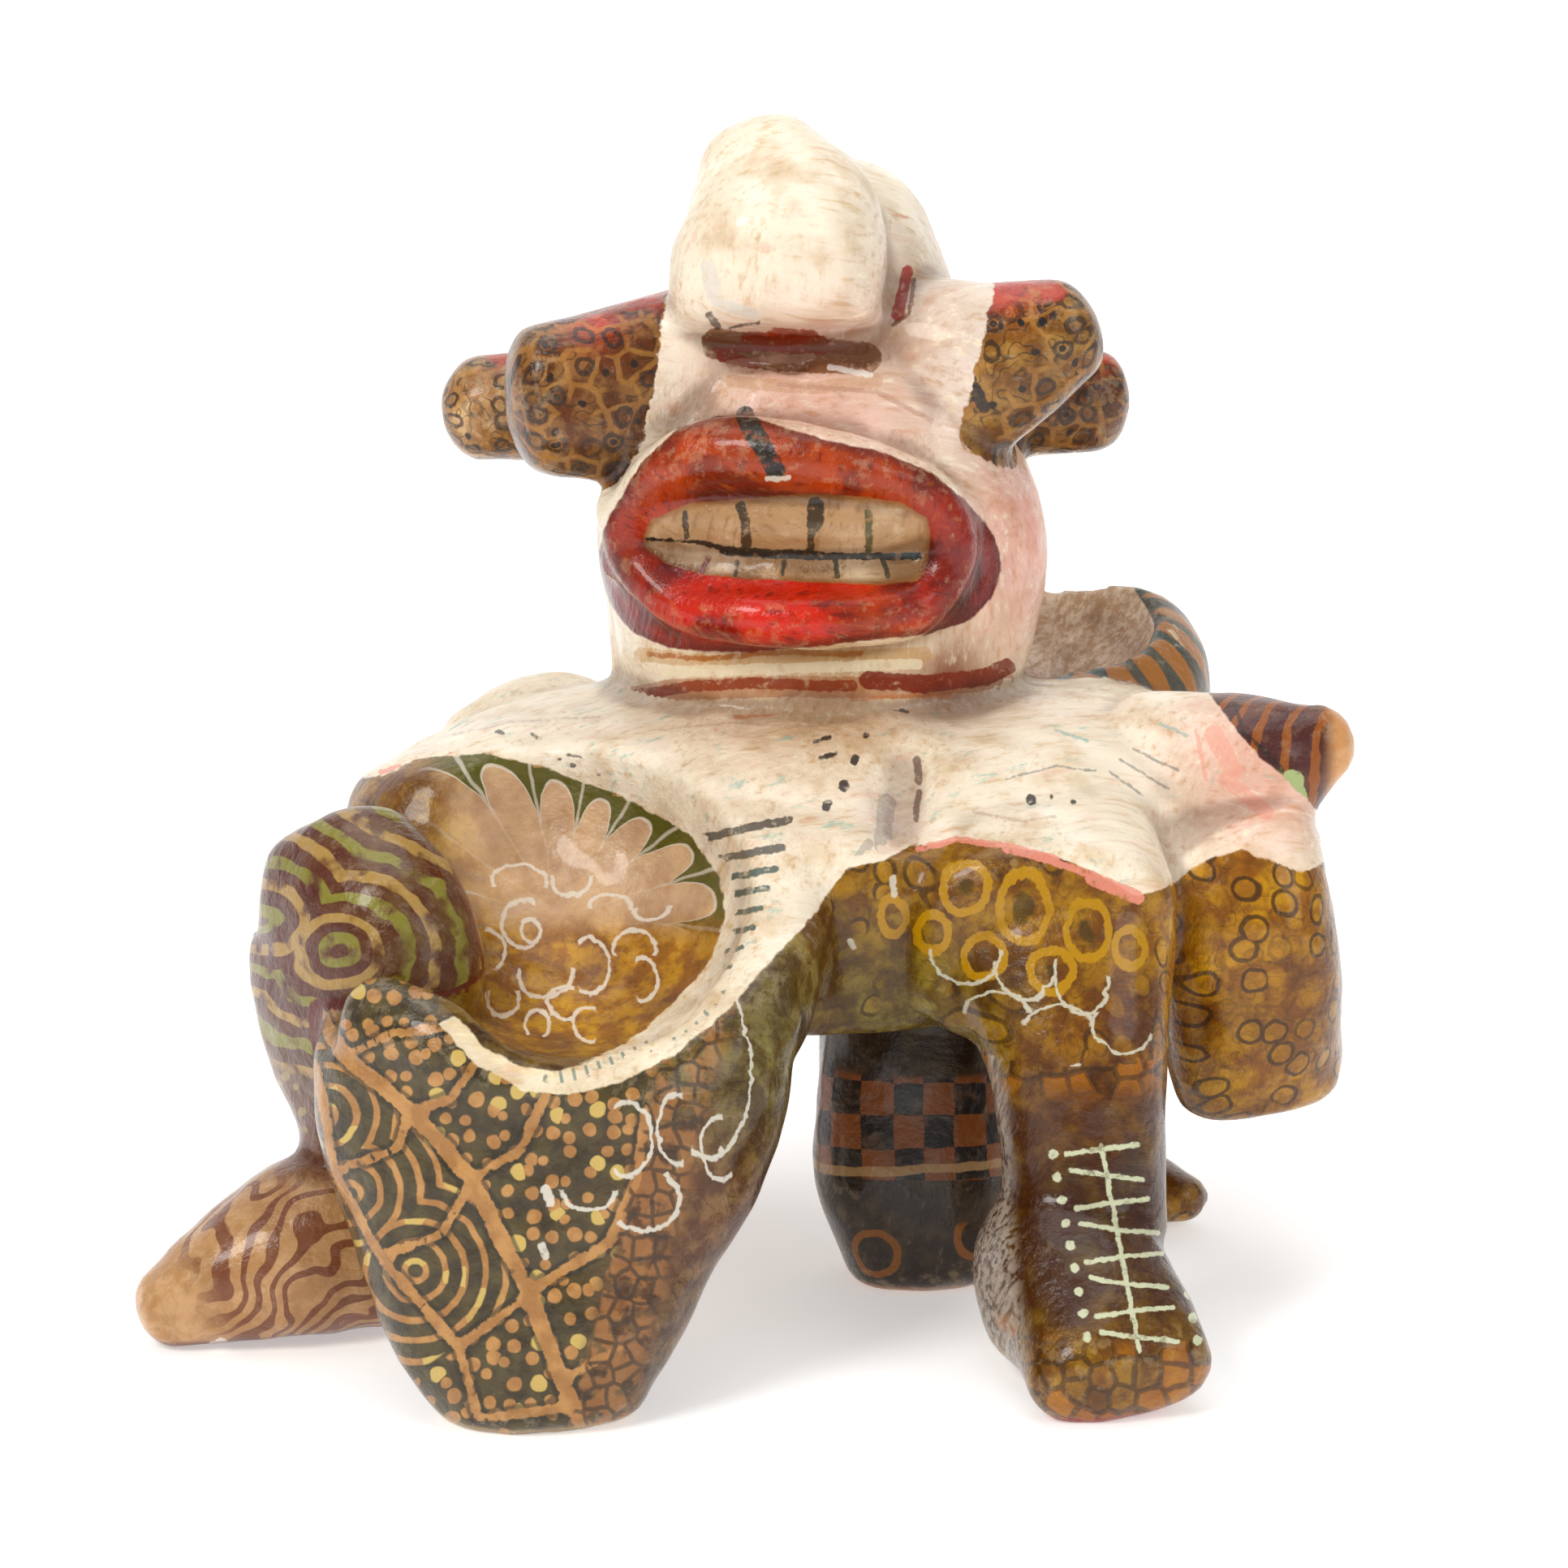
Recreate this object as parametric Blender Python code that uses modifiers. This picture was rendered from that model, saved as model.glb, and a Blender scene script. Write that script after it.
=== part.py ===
"""Papier-mache figure: a many-legged creature with a hollowed shoulder and a large toothed head.

One hand-built solid. Every limb is a loft through oval stations; the lofts are fused, the two bowls
are scooped out, the skin is smoothed, and the soles are cut flat.
Axes: +X to the figure's left as the viewer sees it on the right, +Y away from the face, +Z up.
"""

import math

import bmesh
import bpy
import numpy as np
from mathutils import Matrix, Vector

# Driving sizes, in metres
FIGURE_HEIGHT = 0.270
PAPER_VOXEL = 0.0016  # grain of the fused paper skin
SOLE_DEPTH = 0.0012  # how much of each foot's round underside is trodden flat
SKIN_TRIANGLES = 9300

# The stations below are drawn in shares of the height, written as millimetres on a 270 mm figure.
DRAWN_HEIGHT = 270.0
UNIT = FIGURE_HEIGHT / DRAWN_HEIGHT

RING_SIDES = 32
STATION_GAP = 3.5  # drawn millimetres between the rings of a loft
DOME_RINGS = 5

X_AXIS = (1, 0, 0)
Y_AXIS = (0, 1, 0)

# Each limb: across is the direction of its half width, domes the length of its rounded ends,
# square the exponent of its section (2 is an ellipse), and each station is
# x, y, z, half width, half height.
TRUNK = {
    "body": {
        "across": Y_AXIS,
        "domes": (14, 14),
        "square": 2.4,
        "stations": (
            (-84, -14, 102, 32, 22),
            (-62, -2, 103, 52, 28),
            (-30, 10, 104, 62, 33),
            (8, 10, 104, 68, 34),
            (45, 8, 104, 66, 33),
            (80, 4, 104, 52, 32),
            (104, -2, 105, 32, 25),
        ),
    },
    "deck": {
        "across": X_AXIS,
        "domes": (10, 9),
        "square": 3.2,
        "stations": (
            (0, 20, 104, 90, 33),
            (0, -10, 102, 92, 32),
            (0, -38, 97, 88, 28),
            (2, -58, 93, 76, 24),
        ),
    },
    "boot": {
        "across": X_AXIS,
        "domes": (6, 8),
        "square": 2.2,
        "stations": (
            (-51, -111, 3, 22, 16),
            (-52, -108, 14, 30, 20),
            (-53, -102, 31, 38, 24),
            (-52, -96, 50, 47, 29),
            (-51, -91, 64, 51, 33),
            (-50, -88, 74, 52, 35),
            (-50, -89, 80, 51, 34),
        ),
    },
    "bowl_side": {
        "across": X_AXIS,
        "domes": (6, 6),
        "square": 2.3,
        "stations": (
            (-16, -100, 74, 12, 14),
            (-7, -82, 84, 13, 15),
            (-5, -58, 98, 16, 18),
        ),
    },
    "rear_bowl": {
        "across": X_AXIS,
        "domes": (6, 8),
        "square": 2.6,
        "stations": (
            (52, 42, 108, 34, 28),
            (60, 60, 118, 40, 30),
            (66, 78, 125, 42, 29),
            (69, 91, 131, 38, 25),
        ),
    },
}

LIMBS = {
    "bowl_rim": {
        "across": (0, 0, 1),
        "domes": (8, 6),
        "square": 2.0,
        "stations": (
            (-86, -101, 84, 12, 10),
            (-74, -112, 84, 10, 9),
            (-60, -117, 78, 7, 7),
            (-42, -116, 75, 5.5, 6.5),
            (-25, -109, 78, 5.5, 7),
            (-11, -96, 86, 6, 8),
            (-2, -80, 96, 6.5, 9),
            (1, -62, 106, 6, 9),
            (4, -46, 110, 4, 7),
        ),
    },
    "thigh": {
        "across": X_AXIS,
        "domes": (6, 8),
        "square": 2.9,
        "stations": (
            (56, 4, 104, 30, 30),
            (57, -30, 99, 30, 27),
            (58, -64, 93, 29.5, 24),
        ),
    },
    "shin": {
        "across": X_AXIS,
        "domes": (6, 6),
        "square": 2.3,
        "stations": (
            (61, -58, 92, 27, 19),
            (65, -69, 68, 20, 18),
            (66, -73, 50, 18.5, 17),
            (66, -76, 32, 18.5, 18),
        ),
    },
    "foot": {
        "across": X_AXIS,
        "domes": (9, 7),
        "square": 2.3,
        "stations": (
            (56, -64, 17, 14, 16),
            (61, -79, 22, 20, 22),
            (68, -97, 18, 20, 18),
            (72, -113, 11, 20, 12),
        ),
    },
    "left_leg": {
        "across": (0.61, -0.79, 0),
        "domes": (6, 5),
        "square": 2.4,
        "stations": (
            (-96, -48, 30, 14, 14),
            (-96, -48, 46, 13, 13),
            (-96, -50, 60, 24, 17),
            (-94, -54, 78, 33, 20),
            (-93, -57, 91, 33, 20),
            (-97, -54, 103, 27, 18),
            (-100, -49, 113, 19, 14),
        ),
    },
    "left_foot": {
        "across": Y_AXIS,
        "domes": (8, 7),
        "square": 2.2,
        "stations": (
            (-88, -49, 16, 18, 16),
            (-101, -53, 21, 20, 21),
            (-117, -58, 18, 19, 18),
            (-130, -62, 13, 15, 13),
            (-139, -64, 9, 11, 9),
        ),
    },
    "checker_leg": {
        "across": X_AXIS,
        "domes": (7, 8),
        "square": 2.7,
        "stations": (
            (35, -16, 6, 21, 19),
            (33, -15, 24, 25, 22),
            (32, -12, 50, 24, 21),
            (34, -8, 80, 22, 20),
        ),
    },
    "flank": {
        "across": X_AXIS,
        "domes": (6, 8),
        "square": 3.0,
        "stations": (
            (110.5, -12, 49, 19.5, 22),
            (108.5, -13, 60, 20.5, 27),
            (106, -16, 84, 21.5, 31),
            (99, -14, 106, 23, 28),
        ),
    },
    "side_horn": {
        "across": Y_AXIS,
        "domes": (6, 7),
        "square": 2.0,
        "stations": (
            (88, -8, 116, 26, 24),
            (104, -13, 122, 20, 18),
            (116, -17, 126, 14, 14),
            (124, -19, 130, 9, 9),
        ),
    },
    "back_leg": {
        "across": X_AXIS,
        "domes": (6, 8),
        "square": 2.1,
        "stations": (
            (74, 36, 6, 14, 14),
            (74, 36, 22, 15, 15),
            (82, 37, 46, 15, 16),
            (98, 36, 78, 18, 19),
            (115, 30, 101, 18.5, 20),
        ),
    },
    "back_foot": {
        "across": Y_AXIS,
        "domes": (4, 4),
        "square": 2.0,
        "stations": (
            (78, 32, 9, 12, 10),
            (91, 25, 9, 11, 9),
            (99, 20, 8, 7, 6),
        ),
    },
    "hidden_leg": {
        "across": X_AXIS,
        "domes": (6, 12),
        "square": 2.2,
        "stations": (
            (-50, 66, 6, 18, 20),
            (-51, 65, 22, 16, 18),
            (-53, 60, 58, 16, 17),
            (-56, 48, 100, 24, 24),
            (-60, 46, 121, 20, 20),
        ),
    },
    "rear_lump": {
        "across": Y_AXIS,
        "domes": (10, 10),
        "square": 2.0,
        "stations": (
            (-60, 40, 115, 19, 19),
            (-73, 40, 110, 17, 17),
        ),
    },
    "head": {
        "across": X_AXIS,
        "domes": (6, 6),
        "square": 2.4,
        "stations": (
            (6, 34, 110, 46, 42),
            (6, 34, 132, 47, 44),
            (8, 30, 148, 50, 50),
            (9, 28, 162, 53, 52),
            (9, 27, 172, 53.5, 53),
            (9, 27, 186, 50, 51),
            (9, 29, 200, 41, 46),
            (8, 31, 214, 34, 41),
            (7, 27, 228, 32, 37),
            (5, 23, 239, 28, 31),
            (1, 20, 246.5, 21, 22),
        ),
    },
    "nose": {
        "across": X_AXIS,
        "domes": (4, 7),
        "square": 2.3,
        "stations": (
            (-1.5, -8, 226, 23.5, 20),
            (-1.5, -6, 234, 24.5, 25),
            (-1, -3, 245, 24, 26),
            (-3.5, 0, 255, 20, 21),
            (-6.5, 2, 263, 14, 14),
        ),
    },
    "front_left_lobe": {
        "across": Y_AXIS,
        "domes": (6, 7),
        "square": 2.5,
        "stations": (
            (-10, 14, 212, 18, 22),
            (-34, 6, 208, 17, 21),
            (-57, 0, 206, 15, 17),
        ),
    },
    "back_left_lobe": {
        "across": Y_AXIS,
        "domes": (6, 10),
        "square": 2.1,
        "stations": (
            (-15, 45, 200, 15, 15),
            (-45, 50, 199, 14, 14),
            (-73, 52, 198, 13, 13),
        ),
    },
    "front_right_lobe": {
        "across": Y_AXIS,
        "domes": (6, 7),
        "square": 2.2,
        "stations": (
            (20, 10, 211, 18, 22),
            (46, 3, 214, 16, 20),
            (65, -1, 222.5, 12, 12.5),
        ),
    },
    "back_right_lobe": {
        "across": Y_AXIS,
        "domes": (6, 9),
        "square": 2.2,
        "stations": (
            (20, 44, 200, 15, 15),
            (50, 50, 200, 14, 14),
            (75, 52, 200, 12, 13),
        ),
    },
    "upper_teeth": {
        "across": Y_AXIS,
        "domes": (4, 4),
        "square": 2.8,
        "stations": (
            (-32, 6, 181.5, 18, 7),
            (-14, -7, 182, 20, 8),
            (4, -12, 182, 20, 8),
            (22, -10, 182, 20, 8),
            (36, -4, 181.5, 18, 7),
        ),
    },
    "lower_teeth": {
        "across": Y_AXIS,
        "domes": (4, 4),
        "square": 2.8,
        "stations": (
            (-32, 9, 168.5, 18, 5.5),
            (-14, -4, 168, 20, 6),
            (4, -9, 168, 20, 6),
            (22, -7, 168, 20, 6),
            (36, -1, 168.5, 18, 5.5),
        ),
    },
}

# The lips: a closed roll round the teeth. Each station is x, z, half depth, half thickness.
LIPS = {
    "front": -28,  # the roll's middle line at the middle of the head
    "middle": 9,
    "wrap": 0.0095,  # how fast the corners turn back round the head
    "stations": (
        (-35, 174, 7, 6.5),
        (-30, 188, 8, 7),
        (-17, 196, 9, 8.5),
        (0, 197, 9.5, 8.5),
        (18, 194, 9, 7),
        (32, 187, 8, 6.5),
        (38, 174, 8, 6.5),
        (32, 164, 8, 6.5),
        (15, 160.5, 9, 7),
        (-8, 160.5, 9, 7),
        (-26, 163, 8, 6.5),
    ),
}

# The scoops: ovals that hollow the trunk. tilt turns an oval about X, front edge down,
# and turn then swings it about the upright axis.
SCOOPS = {
    "front_scoop": {"centre": (-54, -72, 116), "radii": (45, 55, 38), "tilt": 28, "turn": 34},
    "left_notch": {"centre": (-92, -66, 128), "radii": (40, 44, 36), "tilt": 16},
    "crease": {"centre": (27, -66, 124), "radii": (12, 50, 12), "tilt": 27},
    "rear_scoop": {"centre": (61, 60, 153), "radii": (33, 31, 30), "tilt": 20},
}


def new_object(name, mesh, hidden=False):
    obj = bpy.data.objects.new(name, mesh)
    collection = CUTTERS if hidden else PARTS
    collection.objects.link(obj)
    return obj


def through(rows, gap):
    """Rows at about even spacing on a smooth curve through the given rows."""
    rows = np.array(rows, float)
    steps = np.linalg.norm(np.diff(rows[:, :3], axis=0), axis=1)
    along = np.concatenate([[0.0], np.cumsum(steps)])
    slopes = np.gradient(rows, along, axis=0)
    wanted = np.linspace(0.0, along[-1], max(3, int(along[-1] / gap) + 1))
    left = np.clip(np.searchsorted(along, wanted, "right") - 1, 0, len(rows) - 2)
    width = (along[left + 1] - along[left])[:, None]
    t = (wanted - along[left])[:, None] / width
    return (
        (2 * t**3 - 3 * t**2 + 1) * rows[left]
        + (t**3 - 2 * t**2 + t) * width * slopes[left]
        + (3 * t**2 - 2 * t**3) * rows[left + 1]
        + (t**3 - t**2) * width * slopes[left + 1]
    )


def oval(angle, square):
    """A point on a unit oval whose corners fill out as square rises above 2."""
    c, s = math.cos(angle), math.sin(angle)
    power = 2.0 / square
    return math.copysign(abs(c) ** power, c), math.copysign(abs(s) ** power, s)


def ring(bm, centre, across, rise, half_width, half_height, square):
    verts = []
    for i in range(RING_SIDES):
        u, v = oval(2 * math.pi * i / RING_SIDES, square)
        point = centre + across * (half_width * u) + rise * (half_height * v)
        verts.append(bm.verts.new(point * UNIT))
    return verts


def bridge(bm, first, second):
    count = len(first)
    for i in range(count):
        j = (i + 1) % count
        bm.faces.new((first[i], first[j], second[j], second[i]))


def loft(bm, limb):
    """A closed limb: oval rings along its path, with a dome on each end."""
    rows = through(limb["stations"], STATION_GAP)
    points = [Vector(row[:3]) for row in rows]
    frames = []
    for i, point in enumerate(points):
        ahead = points[min(i + 1, len(points) - 1)] - points[max(i - 1, 0)]
        ahead.normalize()
        across = Vector(limb["across"])
        across = (across - ahead * across.dot(ahead)).normalized()
        frames.append((point, ahead, across, ahead.cross(across)))
    sections = []
    start_dome, end_dome = limb["domes"]
    for k in range(DOME_RINGS - 1, 0, -1):
        sections.append((0, -start_dome, k / DOME_RINGS))
    sections += [(i, 0.0, 0.0) for i in range(len(points))]
    for k in range(1, DOME_RINGS):
        sections.append((len(points) - 1, end_dome, k / DOME_RINGS))
    rings = []
    for index, reach, share in sections:
        point, ahead, across, rise = frames[index]
        swell = math.cos(share * math.pi / 2)
        centre = point + ahead * (reach * math.sin(share * math.pi / 2))
        half_width, half_height = rows[index][3] * swell, rows[index][4] * swell
        rings.append(
            ring(bm, centre, across, rise, half_width, half_height, limb["square"])
        )
    for first, second in zip(rings, rings[1:]):
        bridge(bm, first, second)
    for verts, index, reach in (
        (rings[0], 0, -start_dome),
        (rings[-1], len(points) - 1, end_dome),
    ):
        point, ahead = frames[index][0], frames[index][1]
        pole = bm.verts.new((point + ahead * reach) * UNIT)
        for i in range(RING_SIDES):
            j = (i + 1) % RING_SIDES
            bm.faces.new((verts[i], verts[j], pole))


def lip_roll(bm):
    """The lips as a closed roll that wraps round the front of the head."""
    rows = []
    for x, z, half_depth, half_thickness in LIPS["stations"]:
        back = LIPS["wrap"] * (x - LIPS["middle"]) ** 2
        rows.append((x, LIPS["front"] + back, z, half_depth, half_thickness))
    rows = through(rows * 3, STATION_GAP)
    once = len(rows) // 3
    rows = rows[once : 2 * once]
    rings = []
    for i, row in enumerate(rows):
        ahead = Vector(rows[(i + 1) % once][:3] - rows[i - 1][:3]).normalized()
        depth = Vector(Y_AXIS)
        depth = (depth - ahead * ahead.dot(depth)).normalized()
        rings.append(
            ring(bm, Vector(row[:3]), depth, ahead.cross(depth), row[3], row[4], 2.0)
        )
    for first, second in zip(rings, rings[1:] + rings[:1]):
        bridge(bm, first, second)


def lofted_mesh(name, limbs, extras=()):
    bm = bmesh.new()
    for limb in limbs.values():
        loft(bm, limb)
    for extra in extras:
        extra(bm)
    bmesh.ops.recalc_face_normals(bm, faces=bm.faces)
    mesh = bpy.data.meshes.new(name)
    bm.to_mesh(mesh)
    bm.free()
    return mesh


def evaluated_mesh(obj):
    """The object's mesh with its modifiers applied."""
    graph = bpy.context.evaluated_depsgraph_get()
    return bpy.data.meshes.new_from_object(obj.evaluated_get(graph))


def fuse(obj, voxel, smooth_steps):
    """One skin round everything in the object's mesh."""
    remesh = obj.modifiers.new("fuse", "REMESH")
    remesh.mode = "VOXEL"
    remesh.voxel_size = voxel
    smooth = obj.modifiers.new("smooth", "SMOOTH")
    smooth.factor = 0.5
    smooth.iterations = smooth_steps


def make_scoop(name, size):
    bpy.ops.mesh.primitive_uv_sphere_add(segments=64, ring_count=32, radius=1.0)
    scoop = bpy.context.active_object
    scoop.name = name
    for collection in list(scoop.users_collection):
        collection.objects.unlink(scoop)
    CUTTERS.objects.link(scoop)
    turn = Matrix.Rotation(math.radians(size.get("turn", 0)), 4, "Z")
    turn = turn @ Matrix.Rotation(math.radians(size["tilt"]), 4, "X")
    stretch = Matrix.Diagonal([r * UNIT for r in size["radii"]] + [1.0])
    place = Matrix.Translation(Vector(size["centre"]) * UNIT)
    scoop.data.transform(place @ turn @ stretch)
    scoop.hide_render = True
    scoop.display_type = "WIRE"
    return scoop


def make_floor():
    """A block under the soles, which treads them flat."""
    side = 2 * FIGURE_HEIGHT
    bpy.ops.mesh.primitive_cube_add(size=side, location=(0, 0, SOLE_DEPTH - side / 2))
    floor = bpy.context.active_object
    floor.name = "floor_cut"
    for collection in list(floor.users_collection):
        collection.objects.unlink(floor)
    CUTTERS.objects.link(floor)
    floor.hide_render = True
    floor.display_type = "WIRE"
    return floor


def cut(obj, cutter):
    boolean = obj.modifiers.new("cut_" + cutter.name, "BOOLEAN")
    boolean.operation = "DIFFERENCE"
    boolean.object = cutter


def painted_paper():
    material = bpy.data.materials.new("painted_paper")
    material.use_nodes = True
    shader = material.node_tree.nodes["Principled BSDF"]
    shader.inputs["Base Color"].default_value = (0.55, 0.42, 0.25, 1.0)
    shader.inputs["Roughness"].default_value = 0.35
    shader.inputs["Metallic"].default_value = 0.0
    return material


def make_figure():
    trunk = new_object("trunk", lofted_mesh("trunk", TRUNK), hidden=True)
    fuse(trunk, PAPER_VOXEL, 3)
    for name, size in SCOOPS.items():
        cut(trunk, make_scoop(name, size))
    hollowed = evaluated_mesh(trunk)
    trunk.hide_render = True

    bm = bmesh.new()
    bm.from_mesh(hollowed)
    bm.from_mesh(lofted_mesh("limbs", LIMBS, extras=(lip_roll,)))
    joined = bpy.data.meshes.new("joined")
    bm.to_mesh(joined)
    bm.free()
    rough = new_object("rough_skin", joined, hidden=True)
    fuse(rough, PAPER_VOXEL, 10)
    rough.hide_render = True
    skin = evaluated_mesh(rough)

    figure = new_object("figure", skin)
    thin = figure.modifiers.new("thin", "DECIMATE")
    thin.ratio = SKIN_TRIANGLES / (2 * len(skin.polygons))
    cut(figure, make_floor())
    figure.data.materials.append(painted_paper())
    figure.data.shade_smooth()
    stand_at_origin(figure)
    return figure


def stand_at_origin(figure):
    """Moves the figure so that the middle of its footprint is the origin."""
    mesh = evaluated_mesh(figure)
    points = np.array([v.co for v in mesh.vertices])
    low, high = points.min(axis=0), points.max(axis=0)
    middle = (low + high) / 2
    shift = Vector((-middle[0], -middle[1], -low[2]))
    for obj in [figure, *CUTTERS.objects]:
        obj.data.transform(Matrix.Translation(shift))
        obj.data.update()


for old in list(bpy.data.objects):
    bpy.data.objects.remove(old)
PARTS = bpy.data.collections.new("papier_mache_figure")
CUTTERS = bpy.data.collections.new("cutters")
bpy.context.scene.collection.children.link(PARTS)
bpy.context.scene.collection.children.link(CUTTERS)
make_figure()
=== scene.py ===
import math

import bpy
import numpy as np
from mathutils import Matrix, Vector


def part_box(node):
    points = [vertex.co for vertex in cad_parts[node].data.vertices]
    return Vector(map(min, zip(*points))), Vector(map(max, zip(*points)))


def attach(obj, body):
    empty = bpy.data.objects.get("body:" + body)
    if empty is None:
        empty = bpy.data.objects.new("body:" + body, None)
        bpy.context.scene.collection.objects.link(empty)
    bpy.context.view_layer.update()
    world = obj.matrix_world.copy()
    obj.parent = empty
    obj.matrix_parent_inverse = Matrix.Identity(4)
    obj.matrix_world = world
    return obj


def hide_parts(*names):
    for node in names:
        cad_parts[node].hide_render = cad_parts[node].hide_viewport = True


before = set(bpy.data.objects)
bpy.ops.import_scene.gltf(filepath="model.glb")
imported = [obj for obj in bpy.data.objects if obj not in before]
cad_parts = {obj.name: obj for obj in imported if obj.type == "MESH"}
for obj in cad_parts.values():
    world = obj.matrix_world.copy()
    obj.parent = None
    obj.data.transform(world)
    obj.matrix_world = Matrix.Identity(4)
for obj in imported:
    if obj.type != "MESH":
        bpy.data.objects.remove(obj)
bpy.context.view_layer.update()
figureLow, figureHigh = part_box("figure")
scene = bpy.context.scene
scene.view_settings.view_transform = "Standard"
scene.view_settings.look = "None"
print("frame: the solid is in")

# Everything below is drawn in millimetres on a figure 270 mm high, face towards -Y,
# and set into the frame at the end.
xAxis, yAxis, zAxis = (1, 0, 0), (0, 1, 0), (0, 0, 1)

# name: (direction of the half width, lengths of the two domes, squareness of the section,
#        stations of x, y, z, half width, half height)
trunkLimbs = {
    "body": (yAxis, (14, 14), 2.4, (
        (-84, -14, 102, 32, 22), (-62, -2, 103, 52, 28), (-30, 10, 104, 62, 33),
        (8, 10, 104, 68, 34), (45, 8, 104, 66, 33), (80, 4, 104, 52, 32), (104, -2, 105, 32, 25),
    )),
    "deck": (xAxis, (10, 9), 3.2, (
        (0, 20, 104, 90, 33), (0, -10, 102, 92, 32), (0, -38, 97, 88, 28), (2, -58, 93, 76, 24),
    )),
    "boot": (xAxis, (6, 8), 2.2, (
        (-51, -111, 3, 22, 16), (-52, -108, 14, 30, 20), (-53, -102, 31, 38, 24),
        (-52, -96, 50, 47, 29), (-51, -91, 64, 51, 33), (-50, -88, 74, 52, 35),
        (-50, -89, 80, 51, 34),
    )),
    "bowlSide": (xAxis, (6, 6), 2.3, (
        (-16, -100, 74, 12, 14), (-7, -82, 84, 13, 15), (-5, -58, 98, 16, 18),
    )),
    "rearBowl": (xAxis, (6, 8), 2.6, (
        (52, 42, 108, 34, 28), (60, 60, 118, 40, 30), (66, 78, 125, 42, 29), (69, 91, 131, 38, 25),
    )),
}

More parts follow.
